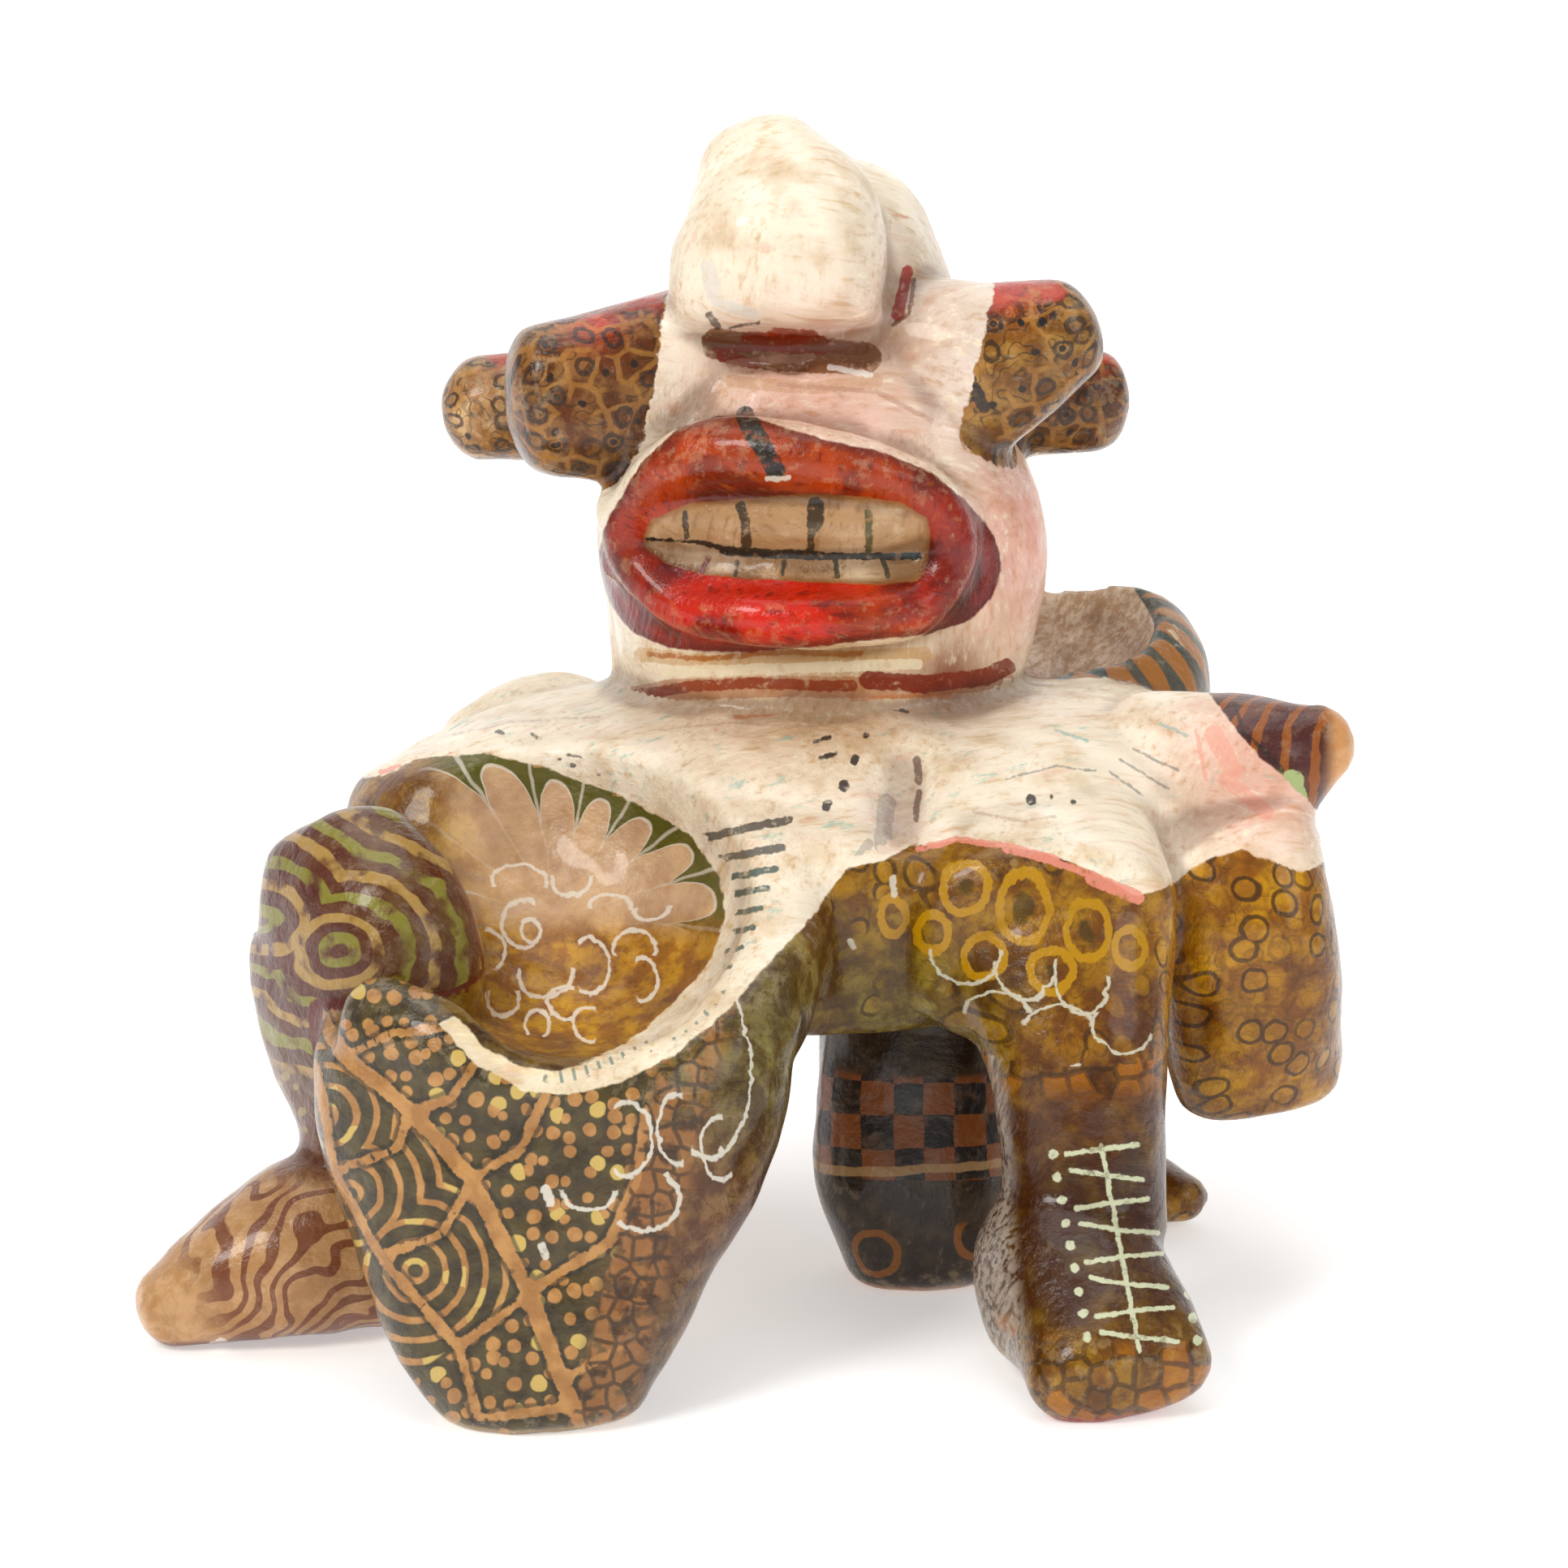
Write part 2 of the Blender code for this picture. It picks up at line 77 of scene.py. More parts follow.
outerLimbs = {
    "bowlRim": (zAxis, (8, 6), 2.0, (
        (-86, -101, 84, 12, 10), (-74, -112, 84, 10, 9), (-60, -117, 78, 7, 7),
        (-42, -116, 75, 5.5, 6.5), (-25, -109, 78, 5.5, 7), (-11, -96, 86, 6, 8),
        (-2, -80, 96, 6.5, 9), (1, -62, 106, 6, 9), (4, -46, 110, 4, 7),
    )),
    "thigh": (xAxis, (6, 8), 2.9, (
        (56, 4, 104, 30, 30), (57, -30, 99, 30, 27), (58, -64, 93, 29.5, 24),
    )),
    "shin": (xAxis, (6, 6), 2.3, (
        (61, -58, 92, 27, 19), (65, -69, 68, 20, 18), (66, -73, 50, 18.5, 17),
        (66, -76, 32, 18.5, 18),
    )),
    "foot": (xAxis, (9, 7), 2.3, (
        (56, -64, 17, 14, 16), (61, -79, 22, 20, 22), (68, -97, 18, 20, 18), (72, -113, 11, 20, 12),
    )),
    "leftLeg": ((0.61, -0.79, 0), (6, 5), 2.4, (
        (-96, -48, 30, 14, 14), (-96, -48, 46, 13, 13), (-96, -50, 60, 24, 17),
        (-94, -54, 78, 33, 20), (-93, -57, 91, 33, 20), (-97, -54, 103, 27, 18),
        (-100, -49, 113, 19, 14),
    )),
    "leftFoot": (yAxis, (8, 7), 2.2, (
        (-88, -49, 16, 18, 16), (-101, -53, 21, 20, 21), (-117, -58, 18, 19, 18),
        (-130, -62, 13, 15, 13), (-139, -64, 9, 11, 9),
    )),
    "checkerLeg": (xAxis, (7, 8), 2.7, (
        (35, -16, 6, 21, 19), (33, -15, 24, 25, 22), (32, -12, 50, 24, 21), (34, -8, 80, 22, 20),
    )),
    "flank": (xAxis, (6, 8), 3.0, (
        (110.5, -12, 49, 19.5, 22), (108.5, -13, 60, 20.5, 27), (106, -16, 84, 21.5, 31),
        (99, -14, 106, 23, 28),
    )),
    "sideHorn": (yAxis, (6, 7), 2.0, (
        (88, -8, 116, 26, 24), (104, -13, 122, 20, 18), (116, -17, 126, 14, 14),
        (124, -19, 130, 9, 9),
    )),
    "backLeg": (xAxis, (6, 8), 2.1, (
        (74, 36, 6, 14, 14), (74, 36, 22, 15, 15), (82, 37, 46, 15, 16), (98, 36, 78, 18, 19),
        (115, 30, 101, 18.5, 20),
    )),
    "backFoot": (yAxis, (4, 4), 2.0, (
        (78, 32, 9, 12, 10), (91, 25, 9, 11, 9), (99, 20, 8, 7, 6),
    )),
    "hiddenLeg": (xAxis, (6, 12), 2.2, (
        (-50, 66, 6, 18, 20), (-51, 65, 22, 16, 18), (-53, 60, 58, 16, 17), (-56, 48, 100, 24, 24),
        (-60, 46, 121, 20, 20),
    )),
    "rearLump": (yAxis, (10, 10), 2.0, (
        (-60, 40, 115, 19, 19), (-73, 40, 110, 17, 17),
    )),
    "head": (xAxis, (6, 6), 2.4, (
        (6, 34, 110, 46, 42), (6, 34, 132, 47, 44), (8, 30, 148, 50, 50), (9, 28, 162, 53, 52),
        (9, 27, 172, 53.5, 53), (9, 27, 186, 50, 51), (9, 29, 200, 41, 46), (8, 31, 214, 34, 41),
        (7, 27, 228, 32, 37), (5, 23, 239, 28, 31), (1, 20, 246.5, 21, 22),
    )),
    "nose": (xAxis, (4, 7), 2.3, (
        (-1.5, -8, 226, 23.5, 20), (-1.5, -6, 234, 24.5, 25), (-1, -3, 245, 24, 26),
        (-3.5, 0, 255, 20, 21), (-6.5, 2, 263, 14, 14),
    )),
    "frontLeftLobe": (yAxis, (6, 7), 2.5, (
        (-10, 14, 212, 18, 22), (-34, 6, 208, 17, 21), (-57, 0, 206, 15, 17),
    )),
    "backLeftLobe": (yAxis, (6, 10), 2.1, (
        (-15, 45, 200, 15, 15), (-45, 50, 199, 14, 14), (-73, 52, 198, 13, 13),
    )),
    "frontRightLobe": (yAxis, (6, 7), 2.2, (
        (20, 10, 211, 18, 22), (46, 3, 214, 16, 20), (65, -1, 222.5, 12, 12.5),
    )),
    "backRightLobe": (yAxis, (6, 9), 2.2, (
        (20, 44, 200, 15, 15), (50, 50, 200, 14, 14), (75, 52, 200, 12, 13),
    )),
    "upperTeeth": (yAxis, (4, 4), 2.8, (
        (-32, 6, 181.5, 18, 7), (-14, -7, 182, 20, 8), (4, -12, 182, 20, 8), (22, -10, 182, 20, 8),
        (36, -4, 181.5, 18, 7),
    )),
    "lowerTeeth": (yAxis, (4, 4), 2.8, (
        (-32, 9, 168.5, 18, 5.5), (-14, -4, 168, 20, 6), (4, -9, 168, 20, 6), (22, -7, 168, 20, 6),
        (36, -1, 168.5, 18, 5.5),
    )),
}

# a closed roll round the teeth: x, z, half depth, half thickness
lips = {
    "front": -28, "middle": 9, "wrap": 0.0095,
    "stations": (
        (-35, 174, 7, 6.5), (-30, 188, 8, 7), (-17, 196, 9, 8.5), (0, 197, 9.5, 8.5),
        (18, 194, 9, 7), (32, 187, 8, 6.5), (38, 174, 8, 6.5), (32, 164, 8, 6.5),
        (15, 160.5, 9, 7), (-8, 160.5, 9, 7), (-26, 163, 8, 6.5),
    ),
}

# ovals that hollow the trunk: centre, radii, tilt about X and then turn about Z, in degrees
scoops = {
    "frontBowl": ((-54, -72, 116), (45, 55, 38), 28, 34),
    "leftNotch": ((-92, -66, 128), (40, 44, 36), 16, 0),
    "crease": ((27, -66, 124), (12, 50, 12), 27, 0),
    "rearBowl": ((61, 60, 153), (33, 31, 30), 20, 0),
}

# the eye in front: the camera stands where the photographer stood
view = {"distance": 1000, "elevation": 12, "target": (0, 0, 116), "lens": 98.07}

skin = {
    "voxel": 1.82, "ringGap": 3.5, "ringSides": 32, "domeRings": 5,
    "soleDepth": 1.2,  # how much of each foot's round underside is trodden flat
    "lumps": (0.75, 17.0), "dents": (0.3, 6.0),  # height and spacing of the hand-worked unevenness
}


def unitRows(rows):
    return rows / np.linalg.norm(rows, axis=-1, keepdims=True)


def throughRows(rows, gap):
    # a cubic through the rows, whose slope at each is taken from its neighbours
    rows = np.array(rows, float)
    steps = np.linalg.norm(np.diff(rows[:, :3], axis=0), axis=1)
    along = np.concatenate([[0.0], np.cumsum(steps)])
    slopes = np.gradient(rows, along, axis=0)
    wanted = np.linspace(0.0, along[-1], max(3, int(along[-1] / gap) + 1))
    left = np.clip(np.searchsorted(along, wanted, "right") - 1, 0, len(rows) - 2)
    width = (along[left + 1] - along[left])[:, None]
    t = (wanted - along[left])[:, None] / width
    return (
        (2 * t**3 - 3 * t**2 + 1) * rows[left] + (t**3 - 2 * t**2 + t) * width * slopes[left]
        + (3 * t**2 - 2 * t**3) * rows[left + 1] + (t**3 - t**2) * width * slopes[left + 1]
    )


def limbFrames(limb):
    # centre, forward, sideways and upward directions and half sizes of each ring of a limb
    rows = throughRows(limb[3], skin["ringGap"])
    ahead = unitRows(np.gradient(rows[:, :3], axis=0))
    across = np.array(limb[0], float) - ahead * (ahead @ np.array(limb[0], float))[:, None]
    across = unitRows(across)
    return rows[:, :3], ahead, across, np.cross(ahead, across), rows[:, 3], rows[:, 4]


def ovalRings(centres, across, rise, halfWidth, halfHeight, square):
    # each ring is centre + across * width * cos(a)^(2/square) + rise * height * sin(a)^(2/square)
    angle = np.linspace(0, 2 * np.pi, skin["ringSides"], endpoint=False)
    c, s = np.cos(angle), np.sin(angle)
    u = np.copysign(np.abs(c) ** (2 / square), c)[None, :, None]
    v = np.copysign(np.abs(s) ** (2 / square), s)[None, :, None]
    return (
        centres[:, None] + across[:, None] * halfWidth[:, None, None] * u
        + rise[:, None] * halfHeight[:, None, None] * v
    )


def gridFaces(rings, sides, closed):
    # quads between neighbouring rings, turned so that they face away from the path
    last = rings if closed else rings - 1
    i, j = np.meshgrid(np.arange(last), np.arange(sides), indexing="ij")
    nextRing, nextSide = (i + 1) % rings, (j + 1) % sides
    quads = np.stack([i * sides + j, i * sides + nextSide, nextRing * sides + nextSide,
                      nextRing * sides + j], axis=-1)
    return quads.reshape(-1, 4)


def limbSurface(limb):
    # rings along the path, shrinking over quarter circles at both ends, and a pole on each end
    centres, ahead, across, rise, halfWidth, halfHeight = limbFrames(limb)
    share = np.arange(1, skin["domeRings"]) / skin["domeRings"]
    count = len(centres)
    index = np.concatenate([np.zeros(len(share), int), np.arange(count),
                            np.full(len(share), count - 1)])
    bend = np.concatenate([share[::-1], np.zeros(count), share]) * np.pi / 2
    reach = np.concatenate([np.full(len(share), -limb[1][0]), np.zeros(count),
                            np.full(len(share), limb[1][1])])
    swell = np.cos(bend)
    middle = centres[index] + ahead[index] * (reach * np.sin(bend))[:, None]
    rings = ovalRings(middle, across[index], rise[index], halfWidth[index] * swell,
                      halfHeight[index] * swell, limb[2])
    sides = skin["ringSides"]
    quads = gridFaces(len(rings), sides, False)
    poles = np.stack([centres[0] - ahead[0] * limb[1][0], centres[-1] + ahead[-1] * limb[1][1]])
    side = np.arange(sides)
    following = (side + 1) % sides
    total = len(rings) * sides
    startFan = np.stack([following, side, np.full(sides, total)], axis=-1)
    top = total - sides
    endFan = np.stack([top + side, top + following, np.full(sides, total + 1)], axis=-1)
    return np.concatenate([rings.reshape(-1, 3), poles]), [quads, startFan, endFan]


def lipSurface():
    # a closed path in X and Z that bends back with the square of the distance from its middle
    rows = np.array(lips["stations"], float)
    back = lips["front"] + lips["wrap"] * (rows[:, 0] - lips["middle"]) ** 2
    rows = np.column_stack([rows[:, 0], back, rows[:, 1], rows[:, 2], rows[:, 3]])
    rows = throughRows(np.tile(rows, (3, 1)), skin["ringGap"])
    once = len(rows) // 3
    rows = rows[once : 2 * once]
    points = rows[:, :3]
    ahead = unitRows(np.roll(points, -1, axis=0) - np.roll(points, 1, axis=0))
    depth = np.array(yAxis, float) - ahead * ahead[:, 1:2]
    depth = unitRows(depth)
    rings = ovalRings(points, depth, np.cross(ahead, depth), rows[:, 3], rows[:, 4], 2.0)
    return rings.reshape(-1, 3), [gridFaces(len(rings), skin["ringSides"], True)]


def scoopMatrix(scoop):
    centre, radii, tilt, turn = scoop
    turned = Matrix.Rotation(math.radians(turn), 4, "Z") @ Matrix.Rotation(math.radians(tilt), 4, "X")
    return Matrix.Translation(Vector(centre)) @ turned @ Matrix.Diagonal([*radii, 1.0])


def scoopSurface(scoop):
    # a sphere of latitude rings, stretched and turned by the scoop's matrix
    latitude = np.linspace(-np.pi / 2, np.pi / 2, 33)[1:-1]
    centres = np.column_stack([np.zeros((len(latitude), 2)), np.sin(latitude)])
    flat = np.tile(np.array(xAxis, float), (len(latitude), 1))
    side = np.tile(np.array(yAxis, float), (len(latitude), 1))
    rings = ovalRings(centres, flat, side, np.cos(latitude), np.cos(latitude), 2.0)
    sides = skin["ringSides"]
    total = len(rings) * sides
    k = np.arange(sides)
    after = (k + 1) % sides
    fans = [np.stack([after, k, np.full(sides, total)], axis=-1),
            np.stack([total - sides + k, total - sides + after, np.full(sides, total + 1)], axis=-1)]
    points = np.concatenate([rings.reshape(-1, 3), [[0, 0, -1], [0, 0, 1]]])
    matrix = np.array(scoopMatrix(scoop))
    return points @ matrix[:3, :3].T + matrix[:3, 3], [gridFaces(len(rings), sides, False), *fans]


def meshOf(name, surfaces):
    points, faces, start = [], [], 0
    for surfacePoints, groups in surfaces:
        points.append(surfacePoints)
        for group in groups:
            faces += (group + start).tolist()
        start += len(surfacePoints)
    mesh = bpy.data.meshes.new(name)
    mesh.from_pydata(np.concatenate(points).tolist(), [], faces)
    mesh.update()
    return mesh


def helper(name, mesh):
    obj = bpy.data.objects.new(name, mesh)
    scene.collection.objects.link(obj)
    return obj


def fuse(obj, smoothSteps):
    # one skin round everything in the mesh, then each point moves half way to its neighbours' mean
    remesh = obj.modifiers.new("fuse", "REMESH")
    remesh.mode = "VOXEL"
    remesh.voxel_size = skin["voxel"]
    smooth = obj.modifiers.new("smooth", "SMOOTH")
    smooth.factor = 0.5
    smooth.iterations = smoothSteps


def bakedMesh(obj):
    graph = bpy.context.evaluated_depsgraph_get()
    return bpy.data.meshes.new_from_object(obj.evaluated_get(graph))


def paperSkin():
    trunk = helper("trunk", meshOf("trunk", [limbSurface(limb) for limb in trunkLimbs.values()]))
    fuse(trunk, 3)
    helpers = [trunk]
    for name, scoop in scoops.items():
        cutter = helper(name, meshOf(name, [scoopSurface(scoop)]))
        helpers.append(cutter)
        hollow = trunk.modifiers.new(name, "BOOLEAN")
        hollow.operation = "DIFFERENCE"
        hollow.object = cutter
    hollowed = bakedMesh(trunk)
    rough = helper("rough", hollowed)
    limbs = meshOf("limbs", [limbSurface(limb) for limb in outerLimbs.values()] + [lipSurface()])
    joined = helper("joined", limbs)
    helpers += [rough, joined]
    with bpy.context.temp_override(
        active_object=rough, selected_editable_objects=[rough, joined], object=rough
    ):
        bpy.ops.object.join()
    helpers.remove(joined)
    fuse(rough, 10)
    mesh = bakedMesh(rough)
    for obj in helpers:
        bpy.data.objects.remove(obj)
    return mesh


def latticeNoise(points, spacing, seed):
    # random values on a cubic lattice, blended between the eight corners round each point
    count = 64
    values = np.random.default_rng(seed).uniform(-1, 1, (count, count, count))
    place = points / spacing + 1000.5
    cell = np.floor(place).astype(int)
    t = place - cell
    t = t * t * (3 - 2 * t)
    low, high = cell % count, (cell + 1) % count
    total = 0
    for dx in (0, 1):
        for dy in (0, 1):
            for dz in (0, 1):
                corner = [(high if d else low)[:, k] for k, d in enumerate((dx, dy, dz))]
                weight = [t[:, k] if d else 1 - t[:, k] for k, d in enumerate((dx, dy, dz))]
                total = total + values[tuple(corner)] * weight[0] * weight[1] * weight[2]
    return total


def worked(points, normals):
    # hand-worked paper: points move along their normals by two sizes of noise
    height, spacing = skin["lumps"]
    move = height * latticeNoise(points, spacing, 3)
    height, spacing = skin["dents"]
    move = move + height * latticeNoise(points, spacing, 5)
    return points + normals * move[:, None]


def meshPoints(mesh):
    points = np.empty(len(mesh.vertices) * 3, np.float32)
    mesh.vertices.foreach_get("co", points)
    normals = np.empty(len(mesh.vertices) * 3, np.float32)
    mesh.vertex_normals.foreach_get("vector", normals)
    return points.reshape(-1, 3).astype(float), normals.reshape(-1, 3).astype(float)


figureMesh = paperSkin()
drawn, normals = meshPoints(figureMesh)
drawn = worked(drawn, normals)
drawn[:, 2] = np.maximum(drawn[:, 2], skin["soleDepth"])
print("skin:", len(drawn), "points,", len(figureMesh.polygons), "faces")

# closed outlines seen from in front, in pixels of the 1932-pixel frame
outlines = {
    "lips": (
        (735, 700), (742, 655), (768, 606), (790, 570), (835, 528), (880, 512), (925, 512),
        (975, 530), (1030, 545), (1090, 558), (1150, 583), (1195, 622), (1225, 660), (1235, 697),
        (1222, 738), (1190, 768), (1140, 782), (1085, 788), (1000, 797), (930, 803), (870, 803),
        (820, 797), (780, 780), (752, 745),
    ),
    "mouth": (
        (792, 662), (803, 640), (850, 620), (920, 614), (1000, 608), (1060, 612), (1110, 620),
        (1142, 638), (1147, 665), (1142, 695), (1133, 716), (1080, 720), (1000, 718), (930, 714),
        (870, 709), (820, 694), (797, 677),
    ),
    "bowl": (
        (398, 1005), (430, 985), (465, 965), (520, 938), (600, 932), (690, 955), (780, 992),
        (850, 1032), (885, 1080), (892, 1125), (872, 1180), (832, 1228), (780, 1272), (725, 1302),
        (682, 1314), (640, 1308), (590, 1275), (556, 1235), (566, 1195), (545, 1150), (500, 1080),
        (440, 1028),
    ),
    "cream": (
        (380, 900), (380, 960), (465, 958), (520, 934), (600, 928), (690, 951), (780, 988),
        (850, 1028), (887, 1080), (893, 1130), (876, 1182), (836, 1230), (785, 1276), (730, 1306),
        (686, 1320), (640, 1314), (596, 1290), (560, 1250), (540, 1262), (590, 1315), (650, 1345),
        (700, 1350), (760, 1335), (830, 1300), (890, 1250), (945, 1190), (1000, 1130),
        (1045, 1070), (1085, 1062), (1128, 1040), (1200, 1036), (1290, 1052), (1350, 1075),
        (1400, 1106), (1440, 1092), (1480, 1062), (1530, 1047), (1600, 1075), (1640, 1060),
        (1625, 1000), (1590, 965), (1535, 915), (1500, 870), (1400, 700), (700, 700), (560, 800),
    ),
}


def frontPane(points):
    # where points fall on an upright pane square to the view: across, up, and depth from the eye
    up = math.radians(view["elevation"])
    forward = np.array([0, math.cos(up), -math.sin(up)])
    upward = np.array([0, math.sin(up), math.cos(up)])
    offset = points - (np.array(view["target"]) - forward * view["distance"])
    depth = offset @ forward
    scale = view["distance"] / depth
    return np.column_stack([offset[:, 0] * scale, offset @ upward * scale, depth])


paneScale = 36 / view["lens"] * view["distance"] / 1932  # millimetres on the pane for one pixel


def onPane(pixels):
    pixels = np.array(pixels, float)
    return np.stack([pixels[..., 0] - 966, 966 - pixels[..., 1]], axis=-1) * paneScale


def outlineDistance(places, outline):
    # distance to the nearest side of a closed outline, positive inside by the crossing rule
    a = onPane(outline)
    b = np.roll(a, -1, axis=0)
    side = b - a
    offset = places[:, None, :2] - a
    t = np.clip((offset * side).sum(axis=-1) / (side**2).sum(axis=-1), 0, 1)
    distance = np.linalg.norm(offset - side * t[..., None], axis=-1).min(axis=1)
    height = places[:, None, 1]
    crosses = (a[:, 1] > height) != (b[:, 1] > height)
    rise = np.where(side[:, 1] == 0, 1e-9, side[:, 1])
    reached = a[:, 0] + (height - a[:, 1]) * side[:, 0] / rise
    inside = (crosses & (places[:, None, 0] < reached)).sum(axis=1) % 2 == 1
    return np.where(inside, distance, -distance)


def limbWrap(points, limb, facing):
    # arc round the limb from its facing side, length along it, and signed distance to its skin,
    # all read from the limb's rings, weighted by nearness so that they change smoothly
    centres, ahead, across, rise, halfWidth, halfHeight = limbFrames(limb)
    facing = np.array(facing, float)
    front = unitRows(facing - ahead * (ahead @ facing)[:, None] + 1e-6)
    side = np.cross(ahead, front)
    gap = ((points[:, None] - centres) ** 2).sum(axis=-1)
    weight = np.exp(-(gap - gap.min(axis=1, keepdims=True)) / 40)
    weight /= weight.sum(axis=1, keepdims=True)
    steps = np.linalg.norm(np.diff(centres, axis=0), axis=1)
    lengths = np.concatenate([[0.0], np.cumsum(steps)])
    offset = points - weight @ centres
    onward = (offset * unitRows(weight @ ahead)).sum(axis=1)
    along = weight @ lengths + onward
    toFront = (offset * (weight @ front)).sum(axis=1)
    toSide = (offset * (weight @ side)).sum(axis=1)
    radius = weight @ np.sqrt(halfWidth * halfHeight)
    arc = np.arctan2(toSide, toFront) * radius
    wide, high = weight @ halfWidth, weight @ halfHeight
    u = (offset * (weight @ across)).sum(axis=1) / wide
    v = (offset * (weight @ rise)).sum(axis=1) / high
    beyond = np.maximum(0, np.maximum(-along, along - lengths[-1])) / np.mean(limb[1])
    share = np.sqrt(u**2 + v**2 + beyond**2)
    return arc, along, (share - 1) * np.minimum(wide, high)


def hollowness(points, normals, edges, rounds):
    # how far the neighbours' mean lies outside each point, after some rounds of averaging
    count = np.bincount(edges.ravel(), minlength=len(points))[:, None]
    moved = points
    for _ in range(rounds):
        total = np.zeros_like(points)
        for k in range(3):
            total[:, k] += np.bincount(edges[:, 0], moved[edges[:, 1], k], len(points))
            total[:, k] += np.bincount(edges[:, 1], moved[edges[:, 0], k], len(points))
        moved = total / count
    return ((moved - points) * normals).sum(axis=1)


def smoothStep(value, low, high):
    t = np.clip((value - low) / (high - low), 0, 1)
    return t * t * (3 - 2 * t)


pane = frontPane(drawn)
x, y, z = drawn.T
allLimbs = {**trunkLimbs, **outerLimbs}
facings = {"leftFoot": zAxis, "foot": zAxis, "backFoot": zAxis, "deck": zAxis, "body": zAxis,
           "rearBowl": xAxis, "thigh": zAxis, "bowlRim": zAxis, "bowlSide": (0, -1, 0.6)}
wraps = {name: limbWrap(drawn, limb, facings.get(name, (0, -1, 0)))
         for name, limb in allLimbs.items()}
limbNames = list(wraps)
nearest = np.argmin([wraps[name][2] for name in limbNames], axis=0)


def nearTo(*names):
    return np.isin(nearest, [limbNames.index(name) for name in names])


def scoopPlace(name):
    # a point in the scoop's own frame, where its surface is the unit sphere
    inverse = np.linalg.inv(np.array(scoopMatrix(scoops[name])))
    return drawn @ inverse[:3, :3].T + inverse[:3, 3]


inFront = 1 - smoothStep(y, 0, 24)
lipsEdge = np.where((y < 24) & (z > 140), outlineDistance(pane, outlines["lips"]), -30)
mouthEdge = np.where((y < 24) & (z > 140), outlineDistance(pane, outlines["mouth"]), -30)
bowlPlace = scoopPlace("frontBowl")
bowlDepth = 1 - np.linalg.norm(bowlPlace, axis=1)
bowlEdge = np.minimum(outlineDistance(pane, outlines["bowl"]), (bowlDepth + 0.3) * 45)
bowlEdge = np.where(y < 10, bowlEdge, -30)
rearPlace = scoopPlace("rearBowl")
rearDepth = 1 - np.linalg.norm(rearPlace, axis=1)
rearMiddle = np.array(scoopMatrix(scoops["rearBowl"]))[:3, 3]
rearInward = (normals * unitRows(rearMiddle - drawn)).sum(axis=1)
rearEdge = np.minimum((rearDepth + 0.12) * 31, rearInward * 12 + 2.5)
creamEdge = outlineDistance(pane, outlines["cream"]) * inFront + (z - 116) * (1 - inFront)
lobeNames = ("frontLeftLobe", "backLeftLobe", "frontRightLobe", "backRightLobe")
lobeSkin = np.min([wraps[name][2] for name in lobeNames], axis=0)
lobeEdge = np.maximum(-31 - x + 0.18 * (z - 205), x - 41 - 0.25 * (z - 205))
lobeEdge = np.minimum(lobeEdge, 4 - lobeSkin)
rearField = np.where(y > 10, 3 - wraps["rearBowl"][2], -30)
creamEdge = np.minimum(creamEdge, -rearField)
otherSkin = np.min([wraps[name][2] for name in limbNames if name not in ("leftLeg", "leftFoot")],
                   axis=0)
leftEdge = otherSkin - np.minimum(wraps["leftLeg"][2], wraps["leftFoot"][2])


bootNet = {
    "line": "#b98850", "dark": "#342b18", "dot": "#c4935c",
    "spine": ((425, 1302), (580, 1450), (725, 1760)),
    "right": ((800, 1350), (752, 1545)),
    "lines": (
        (3.7, ((392, 1250), (425, 1302), (505, 1368), (580, 1450), (652, 1595), (700, 1720), (722, 1765))),
        (2.0, ((425, 1302), (480, 1275), (548, 1266))),
        (2.2, ((505, 1368), (555, 1355), (592, 1300))),
        (2.4, ((580, 1450), (640, 1420), (682, 1328))),
        (2.2, ((652, 1592), (750, 1532), (785, 1450), (795, 1366))),
        (2.0, ((705, 1695), (770, 1655))),
        (2.2, ((388, 1310), (412, 1445), (470, 1550), (565, 1660), (590, 1748), (690, 1736))),
        (2.0, ((412, 1445), (490, 1415), (504, 1370))),
        (2.0, ((470, 1548), (545, 1520), (582, 1456))),
        (2.2, ((565, 1657), (612, 1626), (650, 1598))),
    ),
    "fans": ((402, 1374), (432, 1470), (512, 1566)),
    "hooks": ((2.2, ((672, 1466), (678, 1482))), (2.0, ((668, 1536), (672, 1548)))),
    "arcs": (((770, 1404), (34, 46), (0, 2)), ((834, 1392), (24, 42), (180, 1)),
             ((792, 1478), (46, 40), (315, 0)), ((872, 1316), (54, 112), (350, 0)),
             ((888, 1414), (24, 40), (190, 1)), ((724, 1470), (34, 20), (270, 0))),
}
# the cream strip from the deck round the front of the bowl
stripPath = ((892, 1196), (886, 1222), (868, 1246), (836, 1270), (798, 1290), (758, 1308), (716, 1322),
             (676, 1330))


def pathDistance(paths):
    # the least distance on the pane to any straight piece of the paths, each less half its width
    least = np.full(len(pane), 1e3)
    for width, pixels in paths:
        points = onPane(pixels)
        for a, b in zip(points, points[1:]):
            t = np.clip(((pane[:, :2] - a) @ (b - a)) / ((b - a) @ (b - a)), 0, 1)
            gap = np.linalg.norm(pane[:, :2] - a - t[:, None] * (b - a), axis=1)
            least = np.minimum(least, gap - width / 2)
    return least


def alongPath(pixels):
    # the length along a path to its nearest point, and the distance from it
    points = onPane(pixels)
    best, along, gone = np.full(len(pane), 1e3), np.zeros(len(pane)), 0.0
    for a, b in zip(points, points[1:]):
        length = np.linalg.norm(b - a)
        t = np.clip(((pane[:, :2] - a) @ (b - a)) / length**2, 0, 1)
        gap = np.linalg.norm(pane[:, :2] - a - t[:, None] * (b - a), axis=1)
        along = np.where(gap < best, gone + t * length, along)
        best = np.minimum(best, gap)
        gone += length
    return along, best


